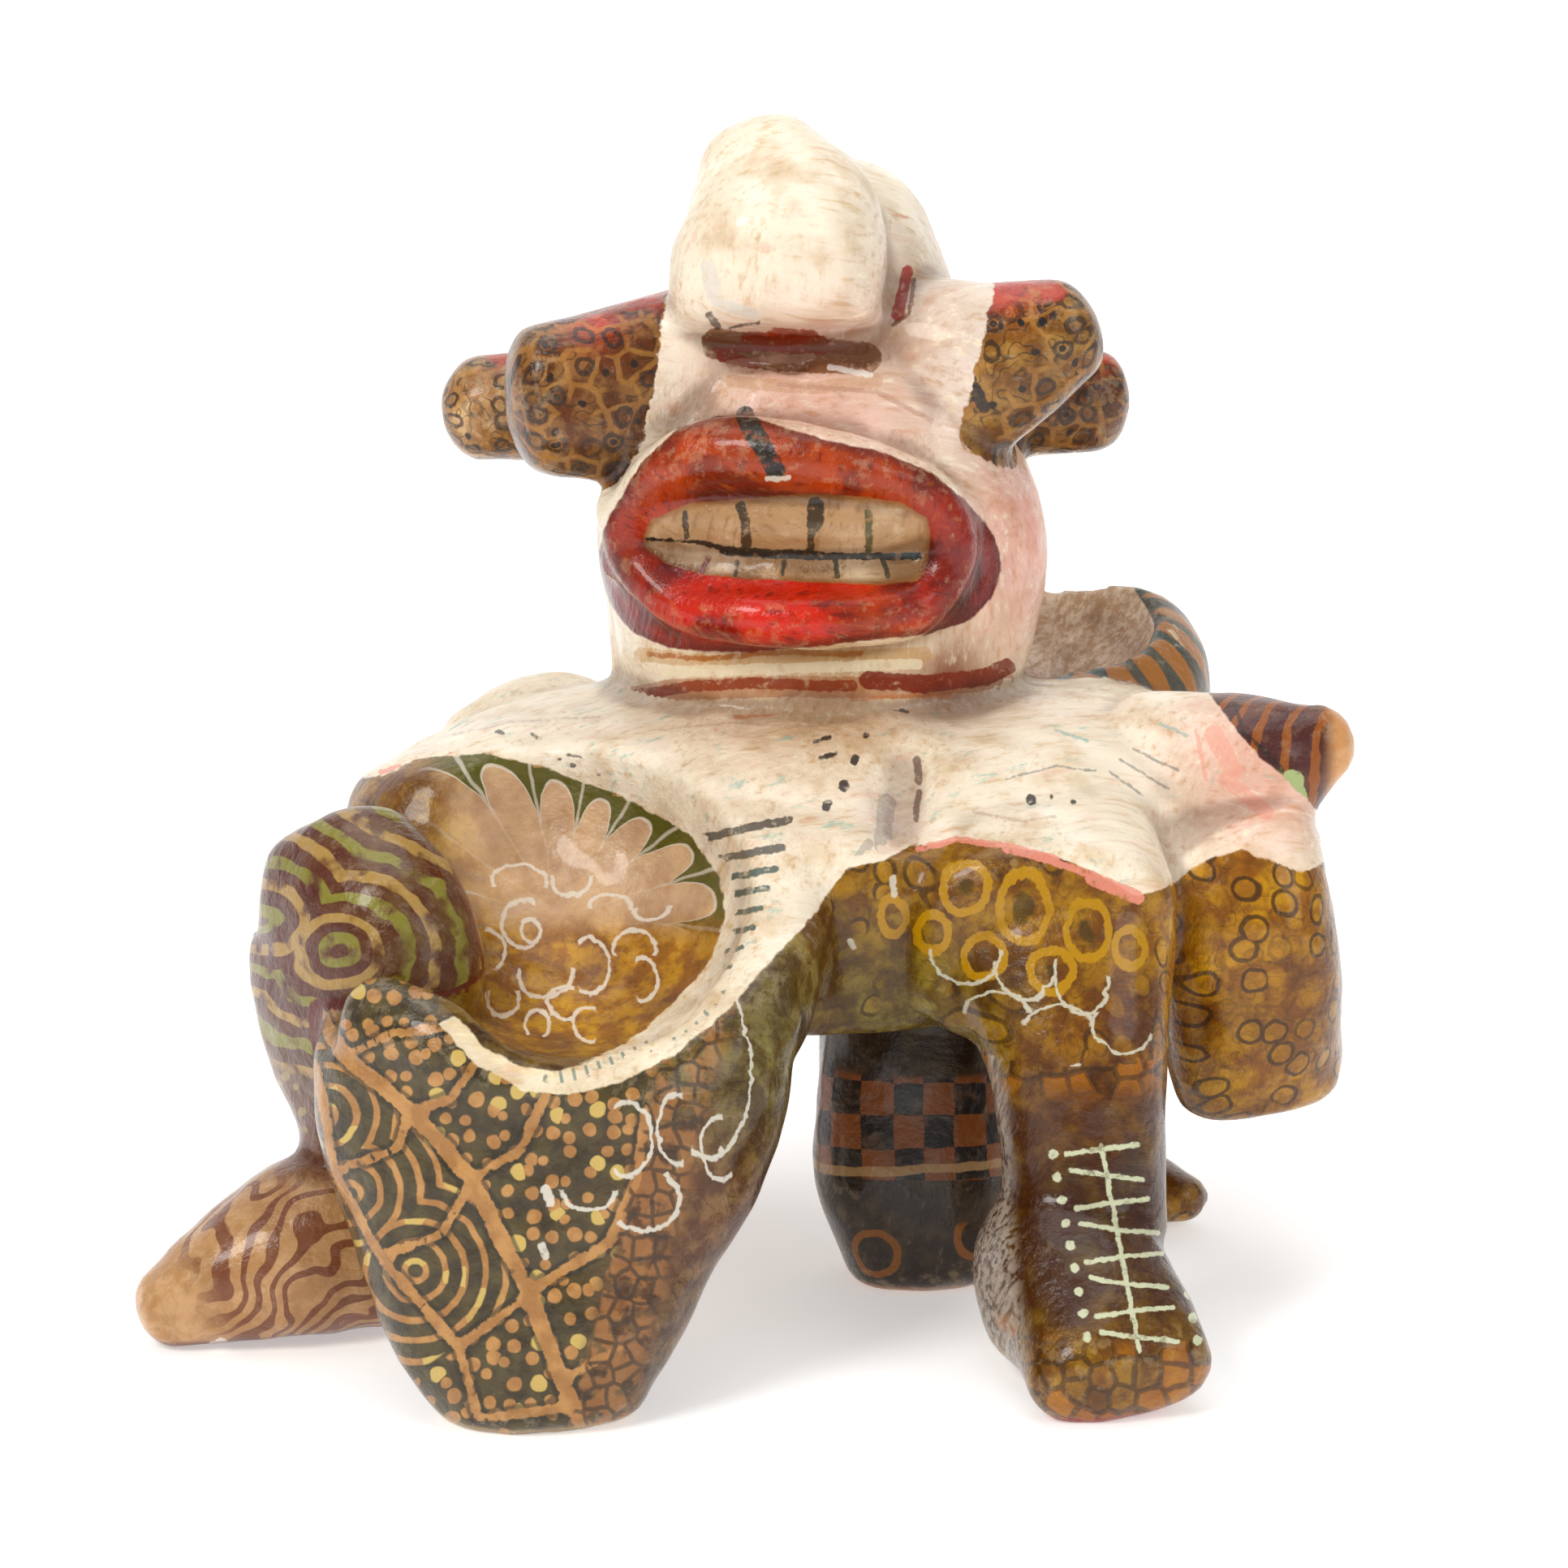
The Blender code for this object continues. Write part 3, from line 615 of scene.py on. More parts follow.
def seenInFront():
    # 1 on what the eye in front meets first and not too much aslant
    up = math.radians(view["elevation"])
    forward = np.array([0, math.cos(up), -math.sin(up)])
    toEye = unitRows(np.array(view["target"]) - forward * view["distance"] - drawn)
    cells = np.floor((pane[:, :2] + 400) / 2.5).astype(int)
    cell = cells[:, 0] * 400 + cells[:, 1]
    first = np.full(160000, np.inf)
    np.minimum.at(first, cell, pane[:, 2])
    facing = (normals * toEye).sum(axis=1)
    return smoothStep(facing, 0, 0.2) * (1 - smoothStep(pane[:, 2] - first[cell], 9, 16))
edgeList = np.empty(len(figureMesh.edges) * 2, np.int32)
figureMesh.edges.foreach_get("vertices", edgeList)
hollow = hollowness(drawn, normals, edgeList.reshape(-1, 2), 12)
print("fields: nearest limbs, outlines and hollows")


# from the drawing to the frame: the two footprints share a middle, and the soles stand on z = 0
cadMiddle = (np.array(figureLow) + np.array(figureHigh)) * 500
ownMiddle = (drawn.min(axis=0) + drawn.max(axis=0)) / 2
shift = np.array([cadMiddle[0] - ownMiddle[0], cadMiddle[1] - ownMiddle[1], -skin["soleDepth"]])
print("shift:", shift)
placed = (drawn + shift) / 1000
placed = np.clip(placed, np.array(figureLow), np.array(figureHigh))
figureMesh.vertices.foreach_set("co", placed.astype(np.float32).ravel())
figureMesh.update()
figureMesh.shade_smooth()
figure = helper("paintedFigure", figureMesh)

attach(figure, "root")
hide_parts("figure")


def linear(hexColour):
    # the linear value of a screen colour
    channels = [int(hexColour[k : k + 2], 16) / 255 for k in (1, 3, 5)]
    return (*[c / 12.92 if c <= 0.04045 else ((c + 0.055) / 1.055) ** 2.4 for c in channels], 1.0)


def lay(tree, kind, values=None, **settings):
    # one node, its settings, and its inputs by number or name
    made = tree.nodes.new("ShaderNode" + kind)
    for name, value in settings.items():
        setattr(made, name, value)
    for key, value in (values or {}).items():
        if isinstance(value, bpy.types.NodeSocket):
            tree.links.new(value, made.inputs[key])
        else:
            made.inputs[key].default_value = value
    return made


def maths(tree, operation, first, second=0.0, third=0.0):
    made = lay(tree, "Math", {0: first, 1: second, 2: third}, operation=operation)
    return made.outputs[0]


def vectors(tree, operation, first, second=(0.0, 0.0, 0.0)):
    made = lay(tree, "VectorMath", {0: first, 1: second}, operation=operation)
    return made.outputs["Value" if operation in ("LENGTH", "DOT_PRODUCT") else "Vector"]


def scaled(tree, vector, factor):
    made = lay(tree, "VectorMath", {0: vector, "Scale": factor}, operation="SCALE")
    return made.outputs["Vector"]


def ramped(tree, value, low, high):
    # 0 at low and 1 at high, with soft ends
    made = lay(tree, "MapRange", {"Value": value, "From Min": low, "From Max": high},
               interpolation_type="SMOOTHSTEP")
    return made.outputs["Result"]


def blend(tree, mask, under, over, way="MIX"):
    made = lay(tree, "Mix", {0: mask, 6: under, 7: over}, data_type="RGBA", blend_type=way)
    return made.outputs[2]


def noise(tree, place, detail=2.0, roughness=0.5):
    return lay(tree, "TexNoise", {"Vector": place, "Scale": 1.0, "Detail": detail,
                                  "Roughness": roughness})


def partly(tree, value, low, high, amount):
    return maths(tree, "MULTIPLY", ramped(tree, value, low, high), amount)


def stretched(tree, place, turn, size):
    # the place turned and divided by the size along each axis
    return lay(tree, "Mapping", {"Vector": place, "Rotation": turn, "Scale": size},
               vector_type="TEXTURE").outputs[0]


def split(tree, vector):
    made = lay(tree, "SeparateXYZ", {0: vector})
    return made.outputs[0], made.outputs[1], made.outputs[2]


def together(tree, *values):
    return lay(tree, "CombineXYZ", dict(enumerate(values))).outputs[0]


def field(tree, name, part="Vector"):
    return lay(tree, "Attribute", attribute_name=name).outputs[part]


def shaderGroup(name, inputs, outputs, build):
    tree = bpy.data.node_groups.new(name, "ShaderNodeTree")
    for label, kind, value in inputs:
        socket = tree.interface.new_socket(label, in_out="INPUT", socket_type="NodeSocket" + kind)
        if value is not None:
            socket.default_value = value
    for label, kind in outputs:
        tree.interface.new_socket(label, in_out="OUTPUT", socket_type="NodeSocket" + kind)
    start, end = tree.nodes.new("NodeGroupInput"), tree.nodes.new("NodeGroupOutput")
    for label, value in build(tree, start.outputs).items():
        tree.links.new(value, end.inputs[label])
    return tree


def use(tree, group, values):
    made = tree.nodes.new("ShaderNodeGroup")
    made.node_tree = group
    for name, value in values.items():
        if isinstance(value, bpy.types.NodeSocket):
            tree.links.new(value, made.inputs[name])
        else:
            made.inputs[name].default_value = value
    return made.outputs


def handWobble(tree, given):
    # place + (noise - 0.5) * 2 * amount, so that lines waver as a brush does
    cloud = noise(tree, scaled(tree, given["Place"], maths(tree, "DIVIDE", 1.0, given["Spacing"])))
    push = vectors(tree, "SUBTRACT", cloud.outputs["Color"], (0.5, 0.5, 0.5))
    push = scaled(tree, push, maths(tree, "MULTIPLY", given["Amount"], 2.0))
    return {"Place": vectors(tree, "ADD", given["Place"], push)}


def brushFibres(tree, given):
    # long streaks that lie one way in some patches and another way in the rest, blots and grit
    place = given["Place"]
    along = noise(tree, stretched(tree, place, (0.3, 0.2, 0.4), (26.0, 2.0, 2.0)), 4.0, 0.62)
    across = noise(tree, stretched(tree, place, (0.5, 0.9, 1.7), (20.0, 1.8, 2.2)), 4.0, 0.62)
    blot = noise(tree, scaled(tree, place, 1 / 12), 4.0, 0.55)
    grit = noise(tree, scaled(tree, place, 1 / 1.6), 3.0, 0.6)
    patch = ramped(tree, noise(tree, scaled(tree, place, 1 / 26), 1.0).outputs["Fac"], 0.44, 0.56)
    streaks = lay(tree, "Mix", {0: patch, 2: along.outputs["Fac"], 3: across.outputs["Fac"]}).outputs[0]
    height = maths(tree, "MULTIPLY", streaks, 0.8)
    height = maths(tree, "MULTIPLY_ADD", blot.outputs["Fac"], 2.4, height)
    height = maths(tree, "MULTIPLY_ADD", grit.outputs["Fac"], 0.12, height)
    return {"Streaks": streaks, "Blotches": blot.outputs["Fac"], "Grit": grit.outputs["Fac"],
            "Height": height}


def creamPaint(tree, given):
    # the wash colour, a little darker and lighter along the streaks, with stains and thin tints
    wash = given["Wash"]
    fibres = use(tree, groups["brushFibres"], {"Place": given["Place"]})
    streaks, blots = fibres["Streaks"], fibres["Blotches"]
    colour = blend(tree, partly(tree, streaks, 0.50, 0.70, 0.6), wash,
                   blend(tree, 1.0, wash, linear("#dcc29c"), "MULTIPLY"))
    colour = blend(tree, partly(tree, streaks, 0.47, 0.30, 0.6), colour, linear("#f7ecd0"))
    colour = blend(tree, partly(tree, blots, 0.50, 0.72, 0.45), colour,
                   blend(tree, 1.0, wash, linear("#d2b48f"), "MULTIPLY"))
    colour = blend(tree, partly(tree, streaks, 0.66, 0.74, 0.3), colour, linear("#a58a6c"))
    colour = blend(tree, partly(tree, fibres["Grit"], 0.70, 0.78, 0.3), colour, linear("#8f765c"))
    tints = noise(tree, stretched(tree, given["Place"], (0.2, 0.1, 0.5), (16.0, 4.0, 4.0)), 4.0, 0.65)
    red, green, _ = split(tree, tints.outputs["Color"])
    teal = maths(tree, "MULTIPLY", ramped(tree, red, 0.58, 0.68), given["Teal"])
    teal = maths(tree, "MULTIPLY", teal, ramped(tree, streaks, 0.42, 0.56))
    colour = blend(tree, teal, colour, linear("#8fb9ac"))
    rose = maths(tree, "MULTIPLY", ramped(tree, green, 0.55, 0.72), given["Rose"])
    colour = blend(tree, rose, colour, linear("#dba48f"))
    return {"Colour": colour, "Height": fibres["Height"]}


def hidePaint(tree, given):
    # the wash colour under brown glaze: soft mottling, darker pools, thin inked loops, dry streaks
    place, wash = given["Place"], given["Wash"]
    fibres = use(tree, groups["brushFibres"], {"Place": place})
    mottle = noise(tree, scaled(tree, place, 1 / 6.5), 4.0, 0.6).outputs["Fac"]
    dark = blend(tree, 1.0, wash, linear("#c4a988"), "MULTIPLY")
    colour = blend(tree, ramped(tree, mottle, 0.40, 0.62), dark, blend(tree, 0.07, wash, linear("#e0bb78")))
    colour = blend(tree, partly(tree, fibres["Blotches"], 0.56, 0.72, 0.8), colour,
                   blend(tree, 1.0, wash, linear("#9b7a58"), "MULTIPLY"))
    colour = blend(tree, partly(tree, fibres["Grit"], 0.60, 0.72, 0.4), colour, linear("#2e2116"))
    level = maths(tree, "FRACT", maths(tree, "MULTIPLY", noise(
        tree, scaled(tree, place, 1 / 5.0), 0.6).outputs["Fac"], 5.0))
    loop = ramped(tree, maths(tree, "ABSOLUTE", maths(tree, "SUBTRACT", level, 0.5)), 0.12, 0.05)
    loop = maths(tree, "MULTIPLY", loop, partly(tree, fibres["Blotches"], 0.60, 0.48, 1.0))
    colour = blend(tree, maths(tree, "MULTIPLY", loop, given["Ink"]), colour, linear("#33210f"))
    dry = maths(tree, "MULTIPLY", ramped(tree, fibres["Streaks"], 0.60, 0.72), given["Dry"])
    colour = blend(tree, dry, colour, linear("#cbb9a2"))
    return {"Colour": colour, "Height": fibres["Height"]}


def lineAway(tree, given):
    # distance to the straight piece from Start to End, less half the width
    span = vectors(tree, "SUBTRACT", given["End"], given["Start"])
    offset = vectors(tree, "SUBTRACT", given["Place"], given["Start"])
    length = maths(tree, "MAXIMUM", vectors(tree, "DOT_PRODUCT", span, span), 0.001)
    share = lay(tree, "Math", {0: vectors(tree, "DOT_PRODUCT", offset, span), 1: length},
                operation="DIVIDE", use_clamp=True).outputs[0]
    away = vectors(tree, "LENGTH", vectors(tree, "SUBTRACT", offset, scaled(tree, span, share)))
    return {"Away": maths(tree, "MULTIPLY_ADD", given["Width"], -0.5, away)}


def ovalAway(tree, given):
    # distance from an oval's line: (|offset / size| - 1) times the mean of the two half sizes
    offset = vectors(tree, "SUBTRACT", given["Place"], given["Middle"])
    reach = vectors(tree, "LENGTH", vectors(tree, "DIVIDE", offset, given["Size"]))
    mean = maths(tree, "MULTIPLY", vectors(tree, "DOT_PRODUCT", given["Size"], (1.0, 1.0, 0.0)), 0.5)
    return {"Away": maths(tree, "MULTIPLY", maths(tree, "SUBTRACT", reach, 1.0), mean)}


def arcAway(tree, given):
    # distance from the part of an oval's line that lies ahead of a cut across it, less half the
    # width: the greater of |oval distance| and -(offset . Cut) - Depth
    oval = use(tree, groups["ovalAway"], {"Place": given["Place"], "Middle": given["Middle"],
                                          "Size": given["Size"]})["Away"]
    offset = vectors(tree, "SUBTRACT", given["Place"], given["Middle"])
    behind = maths(tree, "SUBTRACT", maths(tree, "MULTIPLY", vectors(
        tree, "DOT_PRODUCT", offset, given["Cut"]), -1.0), given["Depth"])
    away = maths(tree, "MAXIMUM", maths(tree, "ABSOLUTE", oval), behind)
    return {"Away": maths(tree, "MULTIPLY_ADD", given["Width"], -0.5, away)}


def dottedPaint(tree, given):
    # round spots at scattered middles, each with its own size
    scale = maths(tree, "DIVIDE", 1.0, given["Spacing"])
    spots = lay(tree, "TexVoronoi", {"Vector": scaled(tree, given["Place"], scale), "Scale": 1.0,
                                     "Randomness": 0.8}, voronoi_dimensions="2D")
    away = maths(tree, "MULTIPLY", spots.outputs["Distance"], given["Spacing"])
    size, _, _ = split(tree, spots.outputs["Color"])
    radius = maths(tree, "MULTIPLY", given["Radius"], maths(tree, "MULTIPLY_ADD", size, 0.5, 0.72))
    return {"Mask": ramped(tree, maths(tree, "SUBTRACT", away, radius), 0.22, -0.22),
            "Away": away, "Random": size}


def cellPaint(tree, given):
    # a net of lines between scattered middles, with each cell's own number and distances
    scale = maths(tree, "DIVIDE", 1.0, given["Spacing"])
    place = scaled(tree, given["Place"], scale)
    edge = lay(tree, "TexVoronoi", {"Vector": place, "Scale": 1.0, "Randomness": 0.7},
               voronoi_dimensions="2D", feature="DISTANCE_TO_EDGE")
    middle = lay(tree, "TexVoronoi", {"Vector": place, "Scale": 1.0, "Randomness": 0.7},
                 voronoi_dimensions="2D")
    toEdge = maths(tree, "MULTIPLY", edge.outputs["Distance"], given["Spacing"])
    half = maths(tree, "MULTIPLY", given["Line"], 0.5)
    random, other, _ = split(tree, middle.outputs["Color"])
    return {"Line": ramped(tree, maths(tree, "SUBTRACT", toEdge, half), 0.25, -0.25),
            "Edge": toEdge, "Random": random, "Other": other,
            "Middle": maths(tree, "MULTIPLY", middle.outputs["Distance"], given["Spacing"])}


def bandPaint(tree, given):
    # even bands: the share of each step that is painted, with soft edges
    step = maths(tree, "FRACT", maths(tree, "DIVIDE", given["Value"], given["Spacing"]))
    away = maths(tree, "ABSOLUTE", maths(tree, "SUBTRACT", step, 0.5))
    away = maths(tree, "MULTIPLY", away, given["Spacing"])
    half = maths(tree, "MULTIPLY", given["Line"], 0.5)
    return {"Mask": ramped(tree, maths(tree, "SUBTRACT", away, half), 0.22, -0.22)}


def handMade(tree, given):
    # darker brown where the skin is hollow, rubbed paint where it stands proud
    low = ramped(tree, given["Hollow"], 0.04, 0.75)
    # the colour turns darker brown in the hollows, by the amount given
    colour = blend(tree, maths(tree, "MULTIPLY", low, given["HollowDark"]), given["Colour"],
                   blend(tree, 1.0, given["Colour"], linear("#6b4428"), "MULTIPLY"))
    grime = noise(tree, scaled(tree, given["Place"], 1 / 3.2), 4.0, 0.65)
    high = maths(tree, "MULTIPLY", ramped(tree, given["Hollow"], -0.25, -0.9),
                 ramped(tree, grime.outputs["Fac"], 0.5, 0.62))
    colour = blend(tree, maths(tree, "MULTIPLY", high, 0.16), colour, linear("#d9c3a0"))
    colour = lay(tree, "HueSaturation", {"Saturation": given["Rich"], "Value": 1.02,
                                         "Color": colour}).outputs[0]
    gloss = maths(tree, "MULTIPLY_ADD", grime.outputs["Fac"], 0.28, given["Gloss"])
    return {"Colour": colour, "Roughness": gloss}


groups = {}
for groupName, inputs, outputs, build in (
    ("handWobble", (("Place", "Vector", None), ("Amount", "Float", 1.0), ("Spacing", "Float", 8.0)),
     (("Place", "Vector"),), handWobble),
    ("brushFibres", (("Place", "Vector", None),),
     (("Streaks", "Float"), ("Blotches", "Float"), ("Grit", "Float"), ("Height", "Float")),
     brushFibres),
    ("creamPaint", (("Place", "Vector", None), ("Wash", "Color", None), ("Teal", "Float", 0.5),
                    ("Rose", "Float", 0.5)),
     (("Colour", "Color"), ("Height", "Float")), creamPaint),
    ("hidePaint", (("Place", "Vector", None), ("Wash", "Color", None), ("Dry", "Float", 0.2),
                   ("Ink", "Float", 0.5)),
     (("Colour", "Color"), ("Height", "Float")), hidePaint),
    ("lineAway", (("Place", "Vector", None), ("Start", "Vector", None),
                  ("End", "Vector", None), ("Width", "Float", 1.5)),
     (("Away", "Float"),), lineAway),
    ("ovalAway", (("Place", "Vector", None), ("Middle", "Vector", None), ("Size", "Vector", None)),
     (("Away", "Float"),), ovalAway),
    ("arcAway", (("Place", "Vector", None), ("Middle", "Vector", None), ("Size", "Vector", None),
                 ("Cut", "Vector", None), ("Depth", "Float", 0.0), ("Width", "Float", 0.8)),
     (("Away", "Float"),), arcAway),
    ("dottedPaint", (("Place", "Vector", None), ("Spacing", "Float", 5.0),
                     ("Radius", "Float", 1.2)),
     (("Mask", "Float"), ("Away", "Float"), ("Random", "Float")), dottedPaint),
    ("cellPaint", (("Place", "Vector", None), ("Spacing", "Float", 12.0), ("Line", "Float", 1.0)),
     (("Line", "Float"), ("Edge", "Float"), ("Random", "Float"), ("Other", "Float"),
      ("Middle", "Float")), cellPaint),
    ("bandPaint", (("Value", "Float", 0.0), ("Spacing", "Float", 4.0), ("Line", "Float", 1.5)),
     (("Mask", "Float"),), bandPaint),
    ("handMade", (("Colour", "Color", None), ("Hollow", "Float", 0.0), ("Place", "Vector", None),
                  ("HollowDark", "Float", 0.6), ("Gloss", "Float", 0.2), ("Rich", "Float", 1.0)),
     (("Colour", "Color"), ("Roughness", "Float")), handMade),
):
    groups[groupName] = shaderGroup(groupName, inputs, outputs, build)
print("paint groups:", ", ".join(groups))


# the paint box: the tones that the broad areas share
paintBox = {
    "ivory": "#e8d8b8", "chalk": "#f0e4d0", "ash": "#ccb8ac", "rose": "#e0a898", "sand": "#cca880",
    "rust": "#884028", "red": "#c83830", "brick": "#a04830", "wine": "#7c2018", "horn": "#b08c68",
    "bone": "#d0b898", "ochre": "#c08c34", "honey": "#906830", "olive": "#949040", "moss": "#6c6430",
    "chestnut": "#744824", "umber": "#443418", "maroon": "#682c1c", "soot": "#2c2420",
    "slate": "#585048", "tan": "#cca078",
}

# for each kind of paint: its ground, how far the ground is mottled, and the broad areas over it,
# each as tone, radius in millimetres and middle (frame pixel, or x, y, z in millimetres)
washes = {
    "creamWash": ("ivory", 0.05, (
        ("chalk", 30, (960, 270)), ("ash", 12, (1120, 400)), ("rose", 13, (1000, 480)),
        ("rose", 12, (1265, 680)), ("sand", 16, (980, 825)), ("rust", 8, (1170, 835)),
        # the small ash area at (1095, 1010) is painted shade in the crease beside the thigh
        ("chalk", 30, (740, 930)), ("ash", 7, (1095, 1010)), ("chalk", 28, (1320, 970)),
        ("rose", 10, (1540, 940)), ("ivory", 30, (9, 78, 165)),
    )),
    "lipWash": ("wine", 0.16, (
        ("brick", 13, (940, 560)), ("red", 12, (940, 742)), ("brick", 8, (1080, 765)),
        ("maroon", 8, (765, 700)),
    )),
    "toothWash": ("horn", 0.08, (
        ("bone", 6, (860, 700)), ("bone", 6, (1060, 704)),
    )),
    "hideWash": ("honey", 0.17, (
        ("umber", 28, (580, 1430)), ("chestnut", 16, (810, 1520)), ("umber", 18, (660, 1690)),
        ("moss", 13, (920, 1290)), ("ochre", 17, (690, 1240)), ("olive", 15, (540, 1090)),
        ("sand", 15, (790, 1080)), ("maroon", 16, (390, 1120)), ("moss", 9, (370, 1320)),
        ("tan", 17, (270, 1560)), ("maroon", 7, (385, 1655)), ("honey", 16, (1260, 1120)),
        ("moss", 12, (1170, 1250)), ("chestnut", 12, (1340, 1320)), ("umber", 18, (1380, 1540)),
        ("honey", 12, (1370, 1700)), ("slate", 7, (1235, 1460)), ("ochre", 16, (1520, 1200)),
        ("chestnut", 10, (1615, 1220)), ("soot", 18, (1100, 1450)), ("maroon", 9, (1575, 905)),
        ("tan", 6, (1645, 885)), ("sand", 15, (1350, 810)), ("slate", 26, (95, 96, 108)),
        ("slate", 26, (50, 96, 100)), ("tan", 16, (-62, 70, 112)), ("chestnut", 14, (700, 480)),
        ("red", 6, (735, 398)), ("sand", 9, (585, 500)), ("honey", 14, (1270, 440)),
        ("red", 6, (1250, 360)), ("chestnut", 11, (1350, 490)),
    )),
}


def anchor(pixels):
    # the place on the skin that the eye meets at a pixel of the frame
    spot = onPane(pixels)
    apart = np.hypot(pane[:, 0] - spot[0], pane[:, 1] - spot[1])
    close = np.flatnonzero(apart < max(1.7, apart.min() + 0.2))
    front = close[pane[close, 2] < pane[close, 2].min() + 5]
    weight = 1 / (apart[front] + 0.05) ** 2
    return (drawn[front] * weight[:, None]).sum(axis=0) / weight.sum()


def mottled(swing):
    # 1 + swing * (sum of twelve sine waves, 8 to 30 mm long, in seeded directions) / 2.4, with the
    # blue swinging wider than the red, so that darker spots are warmer
    dice = np.random.default_rng(57)
    ways = dice.normal(size=(12, 3))
    ways *= (2 * np.pi / dice.uniform(8, 30, 12) / np.linalg.norm(ways, axis=1))[:, None]
    waves = np.sin(drawn @ ways.T + dice.uniform(0, 2 * np.pi, 12)).sum(axis=1) / 2.4
    return 1 + swing * waves[:, None] * np.array([0.8, 1.0, 1.3])


def washed(ground, swing, areas):
    # wide areas are averaged with weights exp(-(distance / 1.5 radius)^2), and those under 9.5 mm
    # are then painted over the mean, each with the strength 0.85 exp(-(distance / 1.14 radius)^2)
    total = np.tile(np.array(linear(paintBox[ground])[:3]) * 0.03, (len(drawn), 1))
    share = np.full(len(drawn), 0.03)
    small = []
    for tone, radius, spot in areas:
        middle = anchor(spot) if len(spot) == 2 else np.array(spot, float)
        gap = ((drawn - middle) ** 2).sum(axis=1) / radius**2
        colour = np.array(linear(paintBox[tone])[:3])
        if radius < 9.5:
            small.append((radius, np.exp(-gap / 1.3) * 0.85, colour))
        else:
            weight = np.exp(-gap / 2.25)
            total += weight[:, None] * colour
            share += weight
    made = total / share[:, None]
    for _, weight, colour in sorted(small, key=lambda entry: -entry[0]):
        made += weight[:, None] * (colour - made)
    return np.clip(made * mottled(swing), 0.0, 1.0)


def keep(name, kind, values):
    # one value for each point of the skin, for the paint to read
    layer = figureMesh.attributes.new(name, kind, "POINT")
    label = {"FLOAT": "value", "FLOAT_VECTOR": "vector", "FLOAT_COLOR": "color"}[kind]
    layer.data.foreach_set(label, np.ascontiguousarray(values, np.float32).ravel())


keep("place", "FLOAT_VECTOR", drawn)
keep("edges", "FLOAT_VECTOR", np.column_stack([lipsEdge, mouthEdge, bowlEdge]))
keep("moreEdges", "FLOAT_VECTOR", np.column_stack([creamEdge, lobeEdge, hollow]))
for washName, wash in washes.items():
    keep(washName, "FLOAT_COLOR", np.column_stack([washed(*wash), np.ones(len(drawn))]))
for layerName, limbName in (
    ("leftFootWrap", "leftFoot"), ("checkerWrap", "checkerLeg"), ("hornWrap", "sideHorn"),
):
    keep(layerName, "FLOAT_VECTOR", np.column_stack(wraps[limbName]))
lobePick = np.argmin([wraps[name][2] for name in lobeNames], axis=0)
lobeWrap = np.choose(lobePick, [wraps[n][0] for n in lobeNames]), np.choose(
    lobePick, [wraps[n][1] for n in lobeNames])
keep("lobeWrap", "FLOAT_VECTOR", np.column_stack([lobeWrap[0], lobeWrap[1], lobePick * 1.0]))
bowlAngle = np.arctan2(bowlPlace[:, 1], bowlPlace[:, 0])
rearAngle = np.arctan2(rearPlace[:, 1], rearPlace[:, 0])
lobeTops = np.array([z[nearTo(name)].max() for name in lobeNames])[lobePick]
lobeTops = np.clip((z - lobeTops + 26) / 26, 0, 1)
keep("bowls", "FLOAT_VECTOR", np.column_stack([bowlAngle * 45, rearAngle * 32, lobeTops]))
keep("limbEdges", "FLOAT_VECTOR", np.column_stack([leftEdge, rearField, rearEdge]))
keep("frontSpot", "FLOAT_VECTOR", np.column_stack([pane[:, :2], seenInFront()]))
keep("paths", "FLOAT_VECTOR", np.column_stack([pathDistance(bootNet["lines"]),
                                               *alongPath(stripPath)]))


def coveredBy(tree, edge, place, amount=1.2):
    # 1 inside an edge whose line the brush has let waver
    cloud = noise(tree, scaled(tree, place, 1 / 4.5), 3.0, 0.6)
    wavy = maths(tree, "MULTIPLY_ADD", cloud.outputs["Fac"], amount * 2, edge)
    return ramped(tree, maths(tree, "SUBTRACT", wavy, amount), -0.3, 0.3)


def creamBase(tree, place, teal=0.4, rose=0.3):
    wash = field(tree, "creamWash", "Color")
    made = use(tree, groups["creamPaint"], {"Place": place, "Wash": wash, "Teal": teal,
                                            "Rose": rose})
    return made["Colour"], made["Height"]


def hideBase(tree, place, dry=0.15, ink=0.5):
    wash = field(tree, "hideWash", "Color")
    made = use(tree, groups["hidePaint"], {"Place": place, "Wash": wash, "Dry": dry, "Ink": ink})
    return made["Colour"], made["Height"]


def wrapPlace(tree, name, amount=0.8, spacing=7.0):
    # the arc and length of a limb's wrap as a flat place, wavering a little
    u, v, _ = split(tree, field(tree, name))
    flat = together(tree, u, v, 0.0)
    return use(tree, groups["handWobble"], {"Place": flat, "Amount": amount,
                                            "Spacing": spacing})["Place"]


def penSpot(tree, amount=0.45, spacing=3.5):
    # where the skin stands on the pane in front, wavering as a pen does, and how well it is seen
    u, v, seen = split(tree, field(tree, "frontSpot"))
    flat = together(tree, u, v, 0.0)
    return use(tree, groups["handWobble"], {"Place": flat, "Amount": amount,
                                            "Spacing": spacing})["Place"], seen


def onSheet(pixel, third=0.0):
    across, up = onPane(pixel)
    return (float(across), float(up), third)


def nearestLine(tree, spot, paths):
    # the least distance to any piece of the paths, each less half its width
    least = None
    for width, pixels in paths:
        for start, end in zip(pixels, pixels[1:] if len(pixels) > 1 else pixels):
            away = use(tree, groups["lineAway"], {"Place": spot, "Start": onSheet(start),
                                                  "End": onSheet(end), "Width": width})["Away"]
            least = away if least is None else maths(tree, "MINIMUM", least, away)
    return least


